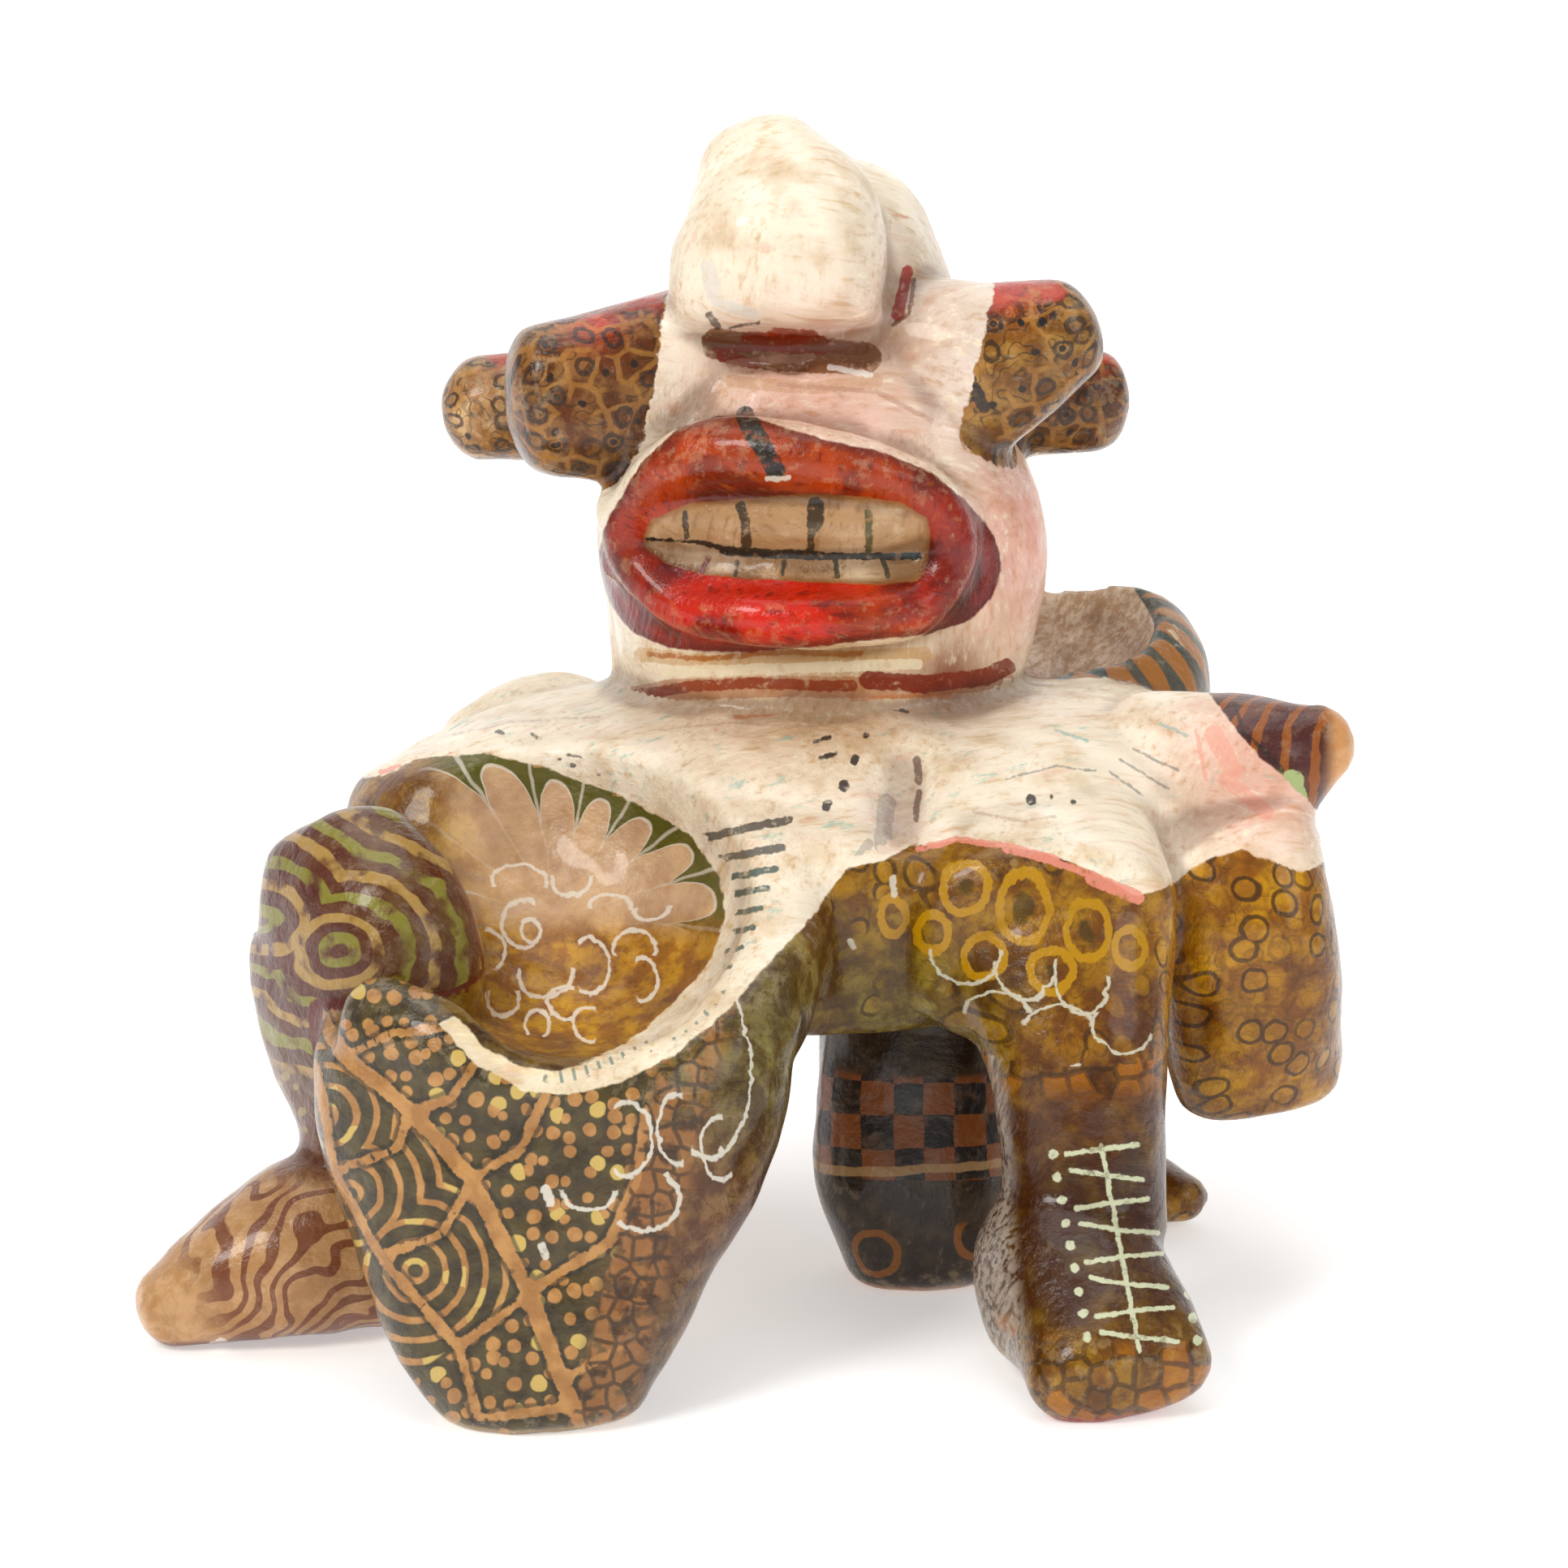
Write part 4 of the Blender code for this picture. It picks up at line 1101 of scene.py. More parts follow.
def nearestOval(tree, spot, ovals):
    # the least distance to any oval, and the least number of it, which is negative inside
    least, inside = None, None
    for middle, size in ovals:
        half = (size[0] * paneScale, size[1] * paneScale, 1.0)
        away = use(tree, groups["ovalAway"], {"Place": spot, "Middle": onSheet(middle),
                                              "Size": half})["Away"]
        near = maths(tree, "ABSOLUTE", away)
        least = near if least is None else maths(tree, "MINIMUM", least, near)
        inside = away if inside is None else maths(tree, "MINIMUM", inside, away)
    return least, inside


def drawnArcs(tree, colour, tone, width, arcs):
    # arcs: the middle and half sizes in frame pixels, and which way the open side looks
    spot, seen = penSpot(tree, 1.0, 5.0)
    least = None
    for middle, size, (turn, depth) in arcs:
        cut = (math.cos(math.radians(turn)), math.sin(math.radians(turn)), 0.0)
        half = (size[0] * paneScale, size[1] * paneScale, 1.0)
        away = use(tree, groups["arcAway"], {"Place": spot, "Middle": onSheet(middle), "Size": half,
                                             "Cut": cut, "Depth": depth, "Width": width})["Away"]
        least = away if least is None else maths(tree, "MINIMUM", least, away)
    mask = maths(tree, "MULTIPLY", brushed(tree, least, gritOn(tree, spot), 0.85), seen)
    return blend(tree, mask, colour, linear(tone))


def gritOn(tree, spot):
    return noise(tree, scaled(tree, spot, 1 / 1.3), 1.0).outputs["Fac"]


def brushed(tree, away, grit, strength=1.0):
    # 1 where a distance is negative, with the ragged edge of a dry brush
    ragged = maths(tree, "MULTIPLY_ADD", grit, 0.9, maths(tree, "SUBTRACT", away, 0.45))
    return partly(tree, ragged, 0.2, -0.2, strength)


def drawnMarks(tree, colour, marks):
    # marks: for each tone its strength and paths of a width in millimetres and frame pixels
    spot, seen = penSpot(tree)
    grit = gritOn(tree, spot)
    worn = noise(tree, scaled(tree, spot, 1 / 3.2), 4.0, 0.65).outputs["Fac"]
    seen = maths(tree, "MULTIPLY", seen, maths(tree, "MULTIPLY_ADD", ramped(
        tree, worn, 0.32, 0.46), 0.6, 0.4))
    for tone, strength, *paths in marks:
        mask = maths(tree, "MULTIPLY", brushed(tree, nearestLine(tree, spot, paths), grit, strength),
                     seen)
        colour = blend(tree, mask, colour, linear(tone))
    return colour


def sideOf(tree, spot, start, end):
    # signed distance from the line through two frame pixels, positive to the right of its way
    a, b = np.array(onSheet(start)), np.array(onSheet(end))
    across = np.array([b[1] - a[1], a[0] - b[0], 0.0])
    across /= np.linalg.norm(across)
    return maths(tree, "SUBTRACT", vectors(tree, "DOT_PRODUCT", spot, tuple(across)),
                 float(a @ across))


def framedByCream(tree, place, colour):
    # the cream laps over the hide
    edge, _, _ = split(tree, field(tree, "moreEdges"))
    cream, _ = creamBase(tree, place)
    return blend(tree, coveredBy(tree, edge, place), colour, cream)


headMarks = (
    # this and the next four entries, save the pale tan line, paint red-brown under the nose, deepened by a
    # painted shadow of the nose's overhang
    ("#7a4a22", 0.85, (7.5, ((884, 424), (960, 438), (1066, 442)))),
    ("#8e2a1a", 0.8, (4.4, ((925, 420), (1012, 426))), (2.6, ((890, 440), (930, 448)))),
    ("#c9a184", 0.6, (3.0, ((900, 470), (1000, 478), (1080, 470)))),
    ("#7d4a30", 0.75, (3.4, ((1000, 424), (1062, 430))), (2.4, ((872, 420), (925, 430)))),
    ("#963a2a", 0.8, (3.2, ((955, 412), (1000, 414))), (1.2, ((880, 432), (930, 430)))),
    ("#a0403a", 0.9, (2.8, ((1118, 335), (1106, 388)))),
    ("#6e3a28", 0.8, (1.0, ((1127, 345), (1120, 388), (1100, 400)))),
    ("#3a332d", 0.8, (1.8, ((874, 388), (884, 402))), (0.7, ((900, 404), (934, 398)))),
    ("#d9d2c8", 0.7, (3.6, ((872, 330), (880, 362))), (2.6, ((884, 372), (930, 388)))),
    ("#efe8df", 0.8, (1.4, ((1022, 452), (1072, 462)))),
    ("#b98f7c", 0.6, (2.0, ((900, 448), (1000, 440))), (1.2, ((960, 474), (1080, 482), (1150, 520)))),
    ("#e09a86", 0.5, (3.0, ((1246, 590), (1272, 650), (1280, 700)))),
    ("#c98d6a", 0.6, (0.7, ((1088, 262), (1118, 268))), (0.7, ((1096, 272), (1090, 330)))),
)
chinMarks = (
    ("#c49c66", 0.6, (3.4, ((790, 806), (870, 816), (980, 812), (1140, 806)))),
    ("#a8612e", 0.8, (1.3, ((800, 806), (870, 812), (960, 804), (1060, 806)))),
    ("#efe2c4", 0.75, (2.6, ((820, 828), (960, 824), (1130, 818)))),
    ("#a8653c", 0.6, (5.0, ((744, 866), (832, 850), (960, 846), (1110, 848), (1236, 836)))),
    ("#8a3522", 0.85, (2.6, ((738, 868), (790, 856), (850, 846), (930, 842), (1050, 846)))),
    ("#7a2014", 0.9, (4.2, ((1070, 838), (1140, 843), (1215, 834), (1240, 822)))),
    ("#c9773f", 0.5, (1.0, ((1050, 862), (1110, 858), (1170, 858)))),
)


def headPaint(tree, place):
    colour, height = creamBase(tree, place, 0.1, 0.4)
    return drawnMarks(tree, colour, headMarks + chinMarks), height


mouthMarks = (
    ("#2f2a1b", 1.0, (0.7, ((796, 664), (860, 668))), (1.3, ((860, 668), (892, 676))),
     (2.3, ((892, 678), (948, 682), (1012, 685))), (1.6, ((1012, 685), (1132, 686)))),
    ("#3a2c1c", 0.95, (1.3, ((844, 632), (846, 662))), (2.2, ((912, 624), (918, 640), (920, 672))),
     (3.9, ((1005, 622), (1004, 644))), (1.8, ((1000, 648), (998, 678)))),
    ("#4b4a2a", 0.9, (1.8, ((1070, 632), (1070, 678)))),
    ("#35505a", 0.7, (0.9, ((1098, 684), (1132, 683)))),
    ("#7a2430", 0.85, (1.2, ((873, 686), (865, 703)))),
    ("#3d3a2c", 0.9, (1.0, ((908, 692), (906, 708))), (1.0, ((966, 690), (964, 708))),
     (1.3, ((1028, 688), (1031, 710))), (1.2, ((1088, 690), (1094, 710)))),
    ("#231c19", 1.0, (4.7, ((918, 513), (936, 545), (955, 578)))),
    ("#d8cdbd", 0.8, (1.2, ((946, 591), (972, 588)))),
)


def mouthPaint(tree, place):
    cream, height = creamBase(tree, place, 0.1, 0.4)
    lipsIn, mouthIn, _ = split(tree, field(tree, "edges"))
    fibres = use(tree, groups["brushFibres"], {"Place": place})
    wash = field(tree, "lipWash", "Color")
    lip = blend(tree, partly(tree, fibres["Blotches"], 0.48, 0.64, 0.8), wash,
                blend(tree, 1.0, wash, linear("#a0644a"), "MULTIPLY"))
    lip = blend(tree, partly(tree, fibres["Streaks"], 0.56, 0.70, 0.4), lip, linear("#b5673f"))
    lip = blend(tree, partly(tree, fibres["Streaks"], 0.46, 0.34, 0.65), lip, linear("#5c140c"))
    lip = blend(tree, partly(tree, lipsIn, 2.4, 0.4, 0.7), lip, linear("#5e1a10"))
    lip = blend(tree, partly(tree, fibres["Grit"], 0.70, 0.78, 0.35), lip, linear("#c98a66"))
    tooth = field(tree, "toothWash", "Color")
    tooth = blend(tree, partly(tree, fibres["Streaks"], 0.50, 0.66, 0.6), tooth, linear("#876242"))
    tooth = blend(tree, partly(tree, fibres["Blotches"], 0.46, 0.34, 0.5), tooth, linear("#dcc2a2"))
    tooth = blend(tree, partly(tree, mouthIn, 1.9, 0.2, 0.8), tooth, linear("#8a5a34"))
    colour = blend(tree, coveredBy(tree, lipsIn, place, 0.8), drawnMarks(tree, cream, chinMarks), lip)
    colour = blend(tree, coveredBy(tree, mouthIn, place, 0.6), colour, tooth)
    return drawnMarks(tree, colour, mouthMarks), height


lobeLoops = {"spacing": 6.4, "dark": "#2e1e15", "light": "#b98546", "red": "#b8382c"}
lobeMarks = (
    ("#2c2420", 0.9, (3.0, ((1178, 432), (1196, 470), (1212, 500)))),
    ("#8d9aa0", 0.6, (1.6, ((1168, 414), (1190, 428)))),
    ("#1f1a18", 1.0, (2.4, ((1284, 396),)), (1.9, ((1258, 398),)), (1.4, ((1232, 402),)),
     (1.3, ((1352, 478),)), (1.3, ((1372, 470),)), (1.2, ((1338, 486),))),
)


def lobePaint(tree, place):
    colour, height = hideBase(tree, place, 0.15, 0.7)
    wrap = wrapPlace(tree, "lobeWrap", 1.5, 6.0)
    cell = use(tree, groups["cellPaint"], {"Place": wrap, "Spacing": lobeLoops["spacing"], "Line": 1.3})
    blots = noise(tree, scaled(tree, place, 1 / 8), 2.0).outputs["Fac"]
    thin = partly(tree, maths(tree, "ABSOLUTE", maths(tree, "SUBTRACT", cell["Middle"], 1.9)),
                0.7, 0.35, 0.8)
    thin = maths(tree, "MULTIPLY", thin, ramped(tree, cell["Random"], 0.35, 0.45))
    colour = blend(tree, maths(tree, "MULTIPLY", cell["Line"], partly(tree, blots, 0.58, 0.46, 0.4)),
                   colour, linear(lobeLoops["light"]))
    colour = blend(tree, thin, colour, linear(lobeLoops["dark"]))
    core = maths(tree, "MULTIPLY", ramped(tree, cell["Middle"], 1.1, 0.7),
                 ramped(tree, cell["Other"], 0.5, 0.6))
    colour = blend(tree, core, colour, linear(lobeLoops["dark"]))
    _, _, tops = split(tree, field(tree, "bowls"))
    red = maths(tree, "MULTIPLY", ramped(tree, tops, 0.62, 0.86), partly(tree, blots, 0.42, 0.56, 0.8))
    colour = blend(tree, red, colour, linear(lobeLoops["red"]))
    colour = drawnMarks(tree, colour, lobeMarks)
    cream, _ = creamBase(tree, place, 0.1, 0.4)
    _, lobeIn, _ = split(tree, field(tree, "moreEdges"))
    return blend(tree, coveredBy(tree, lobeIn, place, 2.0), cream, colour), height


deckMarks = (
    ("#474640", 0.9, (1.9, ((868, 1032), (972, 1010))), (1.9, ((888, 1058), (963, 1044)))),
    ("#35504a", 0.9, (1.6, ((893, 1082), (956, 1071))), (1.5, ((897, 1103), (946, 1094))),
     (1.4, ((898, 1127), (938, 1119))), (1.3, ((895, 1150), (928, 1143))),
     (1.1, ((889, 1173), (914, 1168))), (1.0, ((880, 1196), (900, 1190)))),
    ("#2a2421", 0.95, (1.5, ((1066, 906),)), (1.9, ((1054, 934), (1052, 938))),
     (2.3, ((1040, 967), (1040, 970))), (2.0, ((1020, 990), (1018, 994))),
     (1.1, ((1012, 934), (1030, 929))), (1.0, ((1004, 914), (1022, 908))),
     (2.2, ((1270, 984), (1271, 987))), (1.2, ((1296, 982),)), (1.3, ((1322, 988),))),
    ("#3f3833", 0.85, (1.1, ((690, 936),)), (1.1, ((706, 944),)), (1.1, ((722, 951),)),
     (1.0, ((738, 956),)), (0.9, ((655, 904), (662, 908))), (0.9, ((612, 902), (620, 904))),
     (0.6, ((700, 930), (716, 934))), (0.8, ((1100, 872), (1118, 876)))),
    # painted shade: a dark brown band down the left face of the raised thigh
    ("#6a5148", 0.8, (1.9, ((1130, 936), (1132, 962))), (1.4, ((1132, 976), (1128, 1010)))),
    # painted shade: grey strokes down the crease between the strip and the thigh
    ("#8d8a86", 0.5, (4.2, ((1092, 990), (1088, 1040))), (2.4, ((1070, 1040), (1052, 1066)))),
    ("#7f8078", 0.7, (0.6, ((1380, 936), (1440, 972))), (0.6, ((1366, 950), (1408, 980))),
     (0.6, ((1396, 922), (1452, 950))), (0.5, ((1240, 960), (1300, 944), (1350, 950)))),
    ("#7fa9a2", 0.6, (0.9, ((1430, 892), (1462, 906))), (0.8, ((1300, 900), (1340, 912)))),
    ("#c9773f", 0.55, (0.9, ((905, 884), (985, 876))), (1.2, ((1050, 862), (1170, 858)))),
    ("#b39a86", 0.5, (0.6, ((1200, 1000), (1260, 1012), (1300, 1006))),
     (0.5, ((560, 905), (640, 888), (740, 884))), (0.5, ((800, 900), (900, 890), (1000, 896)))),
)
salmon = ("#e39a8b", 0.85, (1.5, ((1132, 1046), (1180, 1034), (1240, 1042))),
          (2.4, ((1240, 1044), (1300, 1060))), (1.8, ((1300, 1062), (1345, 1078))),
          (3.2, ((1345, 1082), (1402, 1106))), (1.3, ((470, 952), (520, 934), (560, 930))))
rosePatch = ("#e8a593", 0.6, (4.5, ((1496, 905), (1520, 950))), (3.5, ((1510, 960), (1560, 1000))),
             (1.0, ((1474, 900), (1486, 960))))


def deckPaint(tree, place):
    colour, height = creamBase(tree, place, 0.6, 0.3)
    return drawnMarks(tree, colour, deckMarks + (rosePatch, salmon)), height


def stripPaint(tree, place, colour, height):
    # the cream strip, with short bars across it
    colour = framedByCream(tree, place, colour)
    _, along, away = split(tree, field(tree, "paths"))
    bars = use(tree, groups["bandPaint"], {"Value": along, "Spacing": 3.1, "Line": 0.8})["Mask"]
    bars = maths(tree, "MULTIPLY", bars, partly(tree, away, 1.7, 1.2, 0.75))
    return blend(tree, bars, colour, linear("#4d6e62"))


petals = {"middle": (690, 1130), "count": 17, "rim": 1.6, "notch": 10.0, "gap": "#4f5328",
          "leaf": "#dcc0a6", "outline": "#e9dfd0"}
bowlArcs = (
    ((645, 1138), (26, 30), (180, 2)), ((654, 1146), (11, 14), (0, 9)), ((672, 1200), (34, 30), (270, 1)),
    ((726, 1190), (25, 34), (0, 2)), ((700, 1236), (26, 20), (180, 1)), ((782, 1170), (26, 24), (90, 1)),
    ((792, 1206), (18, 26), (0, 1)), ((640, 1086), (34, 22), (90, 1)), ((704, 1082), (24, 22), (270, 0)),
    ((752, 1118), (25, 16), (90, 0)), ((802, 1120), (22, 14), (270, 0)), ((662, 1262), (15, 18), (90, 2)),
    ((726, 1262), (20, 20), (180, 1)), ((600, 1172), (22, 26), (0, 0)), ((620, 1228), (20, 24), (270, 1)))


def bowlPaint(tree, place):
    colour, height = hideBase(tree, place, 0.1, 0.2)
    _, _, bowlIn = split(tree, field(tree, "edges"))
    spot, _ = penSpot(tree, 1.2, 9.0)
    u, v, _ = split(tree, vectors(tree, "SUBTRACT", spot, onSheet(petals["middle"])))
    turn = maths(tree, "MULTIPLY", maths(tree, "ARCTAN2", v, u), petals["count"] / (2 * math.pi))
    fold = maths(tree, "MULTIPLY", maths(tree, "ABSOLUTE", maths(
        tree, "SUBTRACT", maths(tree, "FRACT", maths(tree, "ADD", turn, 30.2)), 0.5)), 2.0)
    reach = maths(tree, "MULTIPLY_ADD", maths(tree, "POWER", fold, 2.6), petals["notch"], petals["rim"])
    inside = maths(tree, "SUBTRACT", bowlIn, reach)
    back = maths(tree, "MULTIPLY", ramped(tree, v, -6.0, 3.0), ramped(tree, u, -36.0, -22.0))
    gap = maths(tree, "MULTIPLY", ramped(tree, inside, 0.5, -0.5), ramped(tree, bowlIn, 12.0, 7.0))
    colour = blend(tree, maths(tree, "MULTIPLY", maths(tree, "MULTIPLY", gap, back), 0.9), colour,
                   linear(petals["gap"]))
    veil = noise(tree, scaled(tree, place, 1 / 3.5), 3.0).outputs["Fac"]
    leaf = maths(tree, "MULTIPLY", partly(tree, inside, -0.4, 0.6, 0.8), ramped(tree, bowlIn, 27.0, 12.0))
    leaf = maths(tree, "MULTIPLY", leaf, maths(tree, "MULTIPLY_ADD", veil, 0.8, 0.45))
    leaf = maths(tree, "MULTIPLY", leaf, ramped(tree, u, -44.0, -8.0))
    colour = blend(tree, maths(tree, "MULTIPLY", leaf, back), colour, linear(petals["leaf"]))
    seam = partly(tree, maths(tree, "ABSOLUTE", maths(tree, "SUBTRACT", fold, 1.0)), 0.10, 0.03, 0.55)
    seam = maths(tree, "MULTIPLY", seam, ramped(tree, bowlIn, 16.0, 9.0))
    outline = partly(tree, maths(tree, "ABSOLUTE", inside), 0.55, 0.2, 0.7)
    outline = maths(tree, "MULTIPLY", maths(tree, "MAXIMUM", outline, seam), back)
    colour = blend(tree, outline, colour, linear(petals["outline"]))
    colour = drawnArcs(tree, colour, petals["outline"], 0.95, bowlArcs)
    left = split(tree, field(tree, "limbEdges"))[0]
    colour = blend(tree, brushed(tree, maths(tree, "SUBTRACT", -1.2, left), gritOn(tree, spot)), colour,
                   linear("#5c1f13"))
    return stripPaint(tree, place, colour, height), height


def bootPaint(tree, place):
    colour, height = hideBase(tree, place, 0.1, 0.4)
    spot, seen = penSpot(tree, 0.7, 5.0)
    _, _, z = split(tree, place)
    first, second, third = bootNet["spine"]
    left = maths(tree, "MINIMUM", sideOf(tree, spot, first, second), sideOf(tree, spot, second, third))
    right = sideOf(tree, spot, *bootNet["right"])
    worn = noise(tree, scaled(tree, place, 1 / 5), 3.0).outputs["Fac"]
    covered = maths(tree, "MULTIPLY", ramped(tree, right, -3.0, 3.0), seen)
    ground = blend(tree, ramped(tree, worn, 0.35, 0.65), linear(bootNet["dark"]), linear("#4f4424"))
    colour = blend(tree, maths(tree, "MULTIPLY", covered, 0.85), colour, ground)
    away = None
    for centre in bootNet["fans"]:
        reach = vectors(tree, "LENGTH", vectors(tree, "SUBTRACT", spot, onSheet(centre)))
        away = reach if away is None else maths(tree, "MINIMUM", away, reach)
    fans = use(tree, groups["bandPaint"], {"Value": away, "Spacing": 4.7, "Line": 1.5})["Mask"]
    fans = maths(tree, "MULTIPLY", fans, ramped(tree, left, 0.5, 1.0))
    above = sideOf(tree, spot, (650, 1598), (565, 1657))
    fans = maths(tree, "MULTIPLY", fans, ramped(tree, above, 0.0, 0.6))
    tan = blend(tree, ramped(tree, worn, 0.38, 0.66), linear("#9f6f3c"), linear(bootNet["line"]))
    dots = use(tree, groups["dottedPaint"], {"Place": spot, "Spacing": 4.7, "Radius": 1.6})
    plain = maths(tree, "MAXIMUM", ramped(tree, left, -0.5, -1.4), ramped(tree, above, -0.5, -1.2))
    fill = maths(tree, "MAXIMUM", maths(tree, "MULTIPLY", dots["Mask"], plain), fans)
    colour = blend(tree, maths(tree, "MULTIPLY", fill, covered), colour,
                   blend(tree, ramped(tree, dots["Random"], 0.84, 0.9), tan, linear("#c4a75c")))
    lines, _, _ = split(tree, field(tree, "paths"))
    waver = noise(tree, scaled(tree, place, 1 / 6), 1.0).outputs["Fac"]
    lines = maths(tree, "ADD", lines, maths(tree, "MULTIPLY_ADD", waver, 1.6, -0.8))
    ring = maths(tree, "MULTIPLY", ramped(tree, lines, 1.4, 0.7), 0.7)
    colour = blend(tree, maths(tree, "MULTIPLY", ring, covered), colour, linear("#2a2212"))
    colour = blend(tree, maths(tree, "MULTIPLY", brushed(tree, lines, gritOn(tree, spot)), seen), colour, tan)
    scales = use(tree, groups["cellPaint"], {"Place": spot, "Spacing": 5.0, "Line": 1.0})
    beyond = maths(tree, "MULTIPLY", ramped(tree, right, 0.0, -1.2), ramped(tree, right, -17.0, -11.0))
    colour = blend(tree, maths(tree, "MULTIPLY", beyond, partly(tree, worn, 0.40, 0.52, 0.6)), colour,
                   linear("#a9713d"))
    colour = blend(tree, maths(tree, "MULTIPLY", maths(tree, "MULTIPLY", scales["Line"], beyond), 0.8),
                   colour, linear("#3a2a18"))
    colour = drawnMarks(tree, colour, (("#ded6c6", 0.8, *bootNet["hooks"]),))
    colour = drawnArcs(tree, colour, "#d8d2c2", 1.0, bootNet["arcs"])
    colour = blend(tree, partly(tree, z, 3.6, 2.2, 0.5), colour, linear("#c0a070"))
    return stripPaint(tree, place, colour, height), height


leftBands = {"middles": ((322, 1128), (418, 1172)), "squash": 1.2, "spacing": 6.4, "line": 3.0,
             "ground": "#4e170c", "pale": "#85802f", "tan": "#ad8a48"}


def leftPaint(tree, place):
    colour, height = hideBase(tree, place, 0.05, 0.3)
    _, _, z = split(tree, place)
    spot, _ = penSpot(tree, 3.6, 13.0)
    high = ramped(tree, z, 61.0, 66.0)
    limb = ramped(tree, z, 36.0, 42.0)
    colour = blend(tree, maths(tree, "MULTIPLY", limb, 0.75), colour, linear(leftBands["ground"]))
    away = None
    for middle in leftBands["middles"]:
        offset = vectors(tree, "SUBTRACT", spot, onSheet(middle))
        reach = vectors(tree, "LENGTH", vectors(tree, "MULTIPLY", offset, (1.0, leftBands["squash"], 1)))
        away = reach if away is None else maths(tree, "MINIMUM", away, reach)
    bands = use(tree, groups["bandPaint"], {"Value": away, "Spacing": leftBands["spacing"],
                                            "Line": leftBands["line"]})["Mask"]
    wide = maths(tree, "FRACT", maths(tree, "DIVIDE", away, leftBands["spacing"] * 2))
    tone = blend(tree, maths(tree, "GREATER_THAN", wide, 0.5), linear(leftBands["pale"]),
                 linear(leftBands["tan"]))
    worn = noise(tree, scaled(tree, place, 1 / 7), 3.0).outputs["Fac"]
    bands = maths(tree, "MULTIPLY", maths(tree, "MULTIPLY", bands, high), partly(
        tree, worn, 0.34, 0.52, 0.85))
    colour = blend(tree, bands, colour, tone)
    fine, _ = penSpot(tree, 0.5, 4.0)
    spots = use(tree, groups["dottedPaint"], {"Place": fine, "Spacing": 4.6, "Radius": 0.95})["Mask"]
    low = maths(tree, "MULTIPLY", maths(tree, "SUBTRACT", 1.0, high), ramped(tree, z, 46.0, 50.0))
    colour = blend(tree, maths(tree, "MULTIPLY", maths(tree, "MULTIPLY", spots, low), 0.8), colour,
                   linear("#9a8448"))
    foot = wrapPlace(tree, "leftFootWrap", 2.4, 10.0)
    arc, along, _ = split(tree, foot)
    waves = noise(tree, scaled(tree, place, 1 / 14), 1.0).outputs["Fac"]
    slope = maths(tree, "MULTIPLY_ADD", along, 0.75, maths(tree, "MULTIPLY_ADD", waves, 34.0, arc))
    arcs = use(tree, groups["bandPaint"], {"Value": slope, "Spacing": 8.0, "Line": 3.4})["Mask"]
    lower = ramped(tree, z, 42.0, 36.0)
    tan = blend(tree, 0.6, colour, linear("#bb8f5e"))
    colour = blend(tree, lower, colour, tan)
    arcs = maths(tree, "MULTIPLY", arcs, ramped(tree, along, 52.0, 42.0))
    colour = blend(tree, maths(tree, "MULTIPLY", maths(tree, "MULTIPLY", arcs, lower), 0.8), colour,
                   linear("#642613"))
    colour = blend(tree, partly(tree, z, 4.6, 2.8, 0.8), colour, linear("#5c1d16"))
    colour = drawnMarks(tree, colour, (("#f0e6da", 0.9, (2.2, ((262, 1658), (274, 1654)))),))
    left = split(tree, field(tree, "limbEdges"))[0]
    edge = ramped(tree, left, 4.4, 3.6)
    colour = blend(tree, maths(tree, "MULTIPLY", edge, ramped(tree, z, 50.0, 60.0)), colour,
                   linear("#5c1f13"))
    return framedByCream(tree, place, colour), height


bodyRings = {
    "ovals": (((1190, 1094), (27, 30)), ((1262, 1118), (31, 42)), ((1340, 1146), (26, 36)),
              ((1150, 1150), (20, 24)), ((1212, 1178), (24, 26)), ((1296, 1196), (26, 26)),
              ((1392, 1168), (18, 24)), ((1100, 1128), (16, 22))),
    "line": 2.1, "tan": "#b48a42", "core": "#3f3315",
    "dabs": ("#d6d0bf", 0.75, (0.9, ((1262, 1340), (1330, 1312))), (1.6, ((1100, 1082), (1102, 1102))),
             (1.2, ((1048, 1160), (1052, 1168)))),
    "arcs": (((1190, 1172), (44, 40), (270, 0)), ((1264, 1186), (38, 46), (270, 0)),
             ((1334, 1206), (34, 44), (270, 0)), ((1228, 1246), (40, 24), (90, 0)),
             ((1304, 1262), (42, 24), (90, 0)), ((1384, 1262), (38, 36), (250, 0))),
}


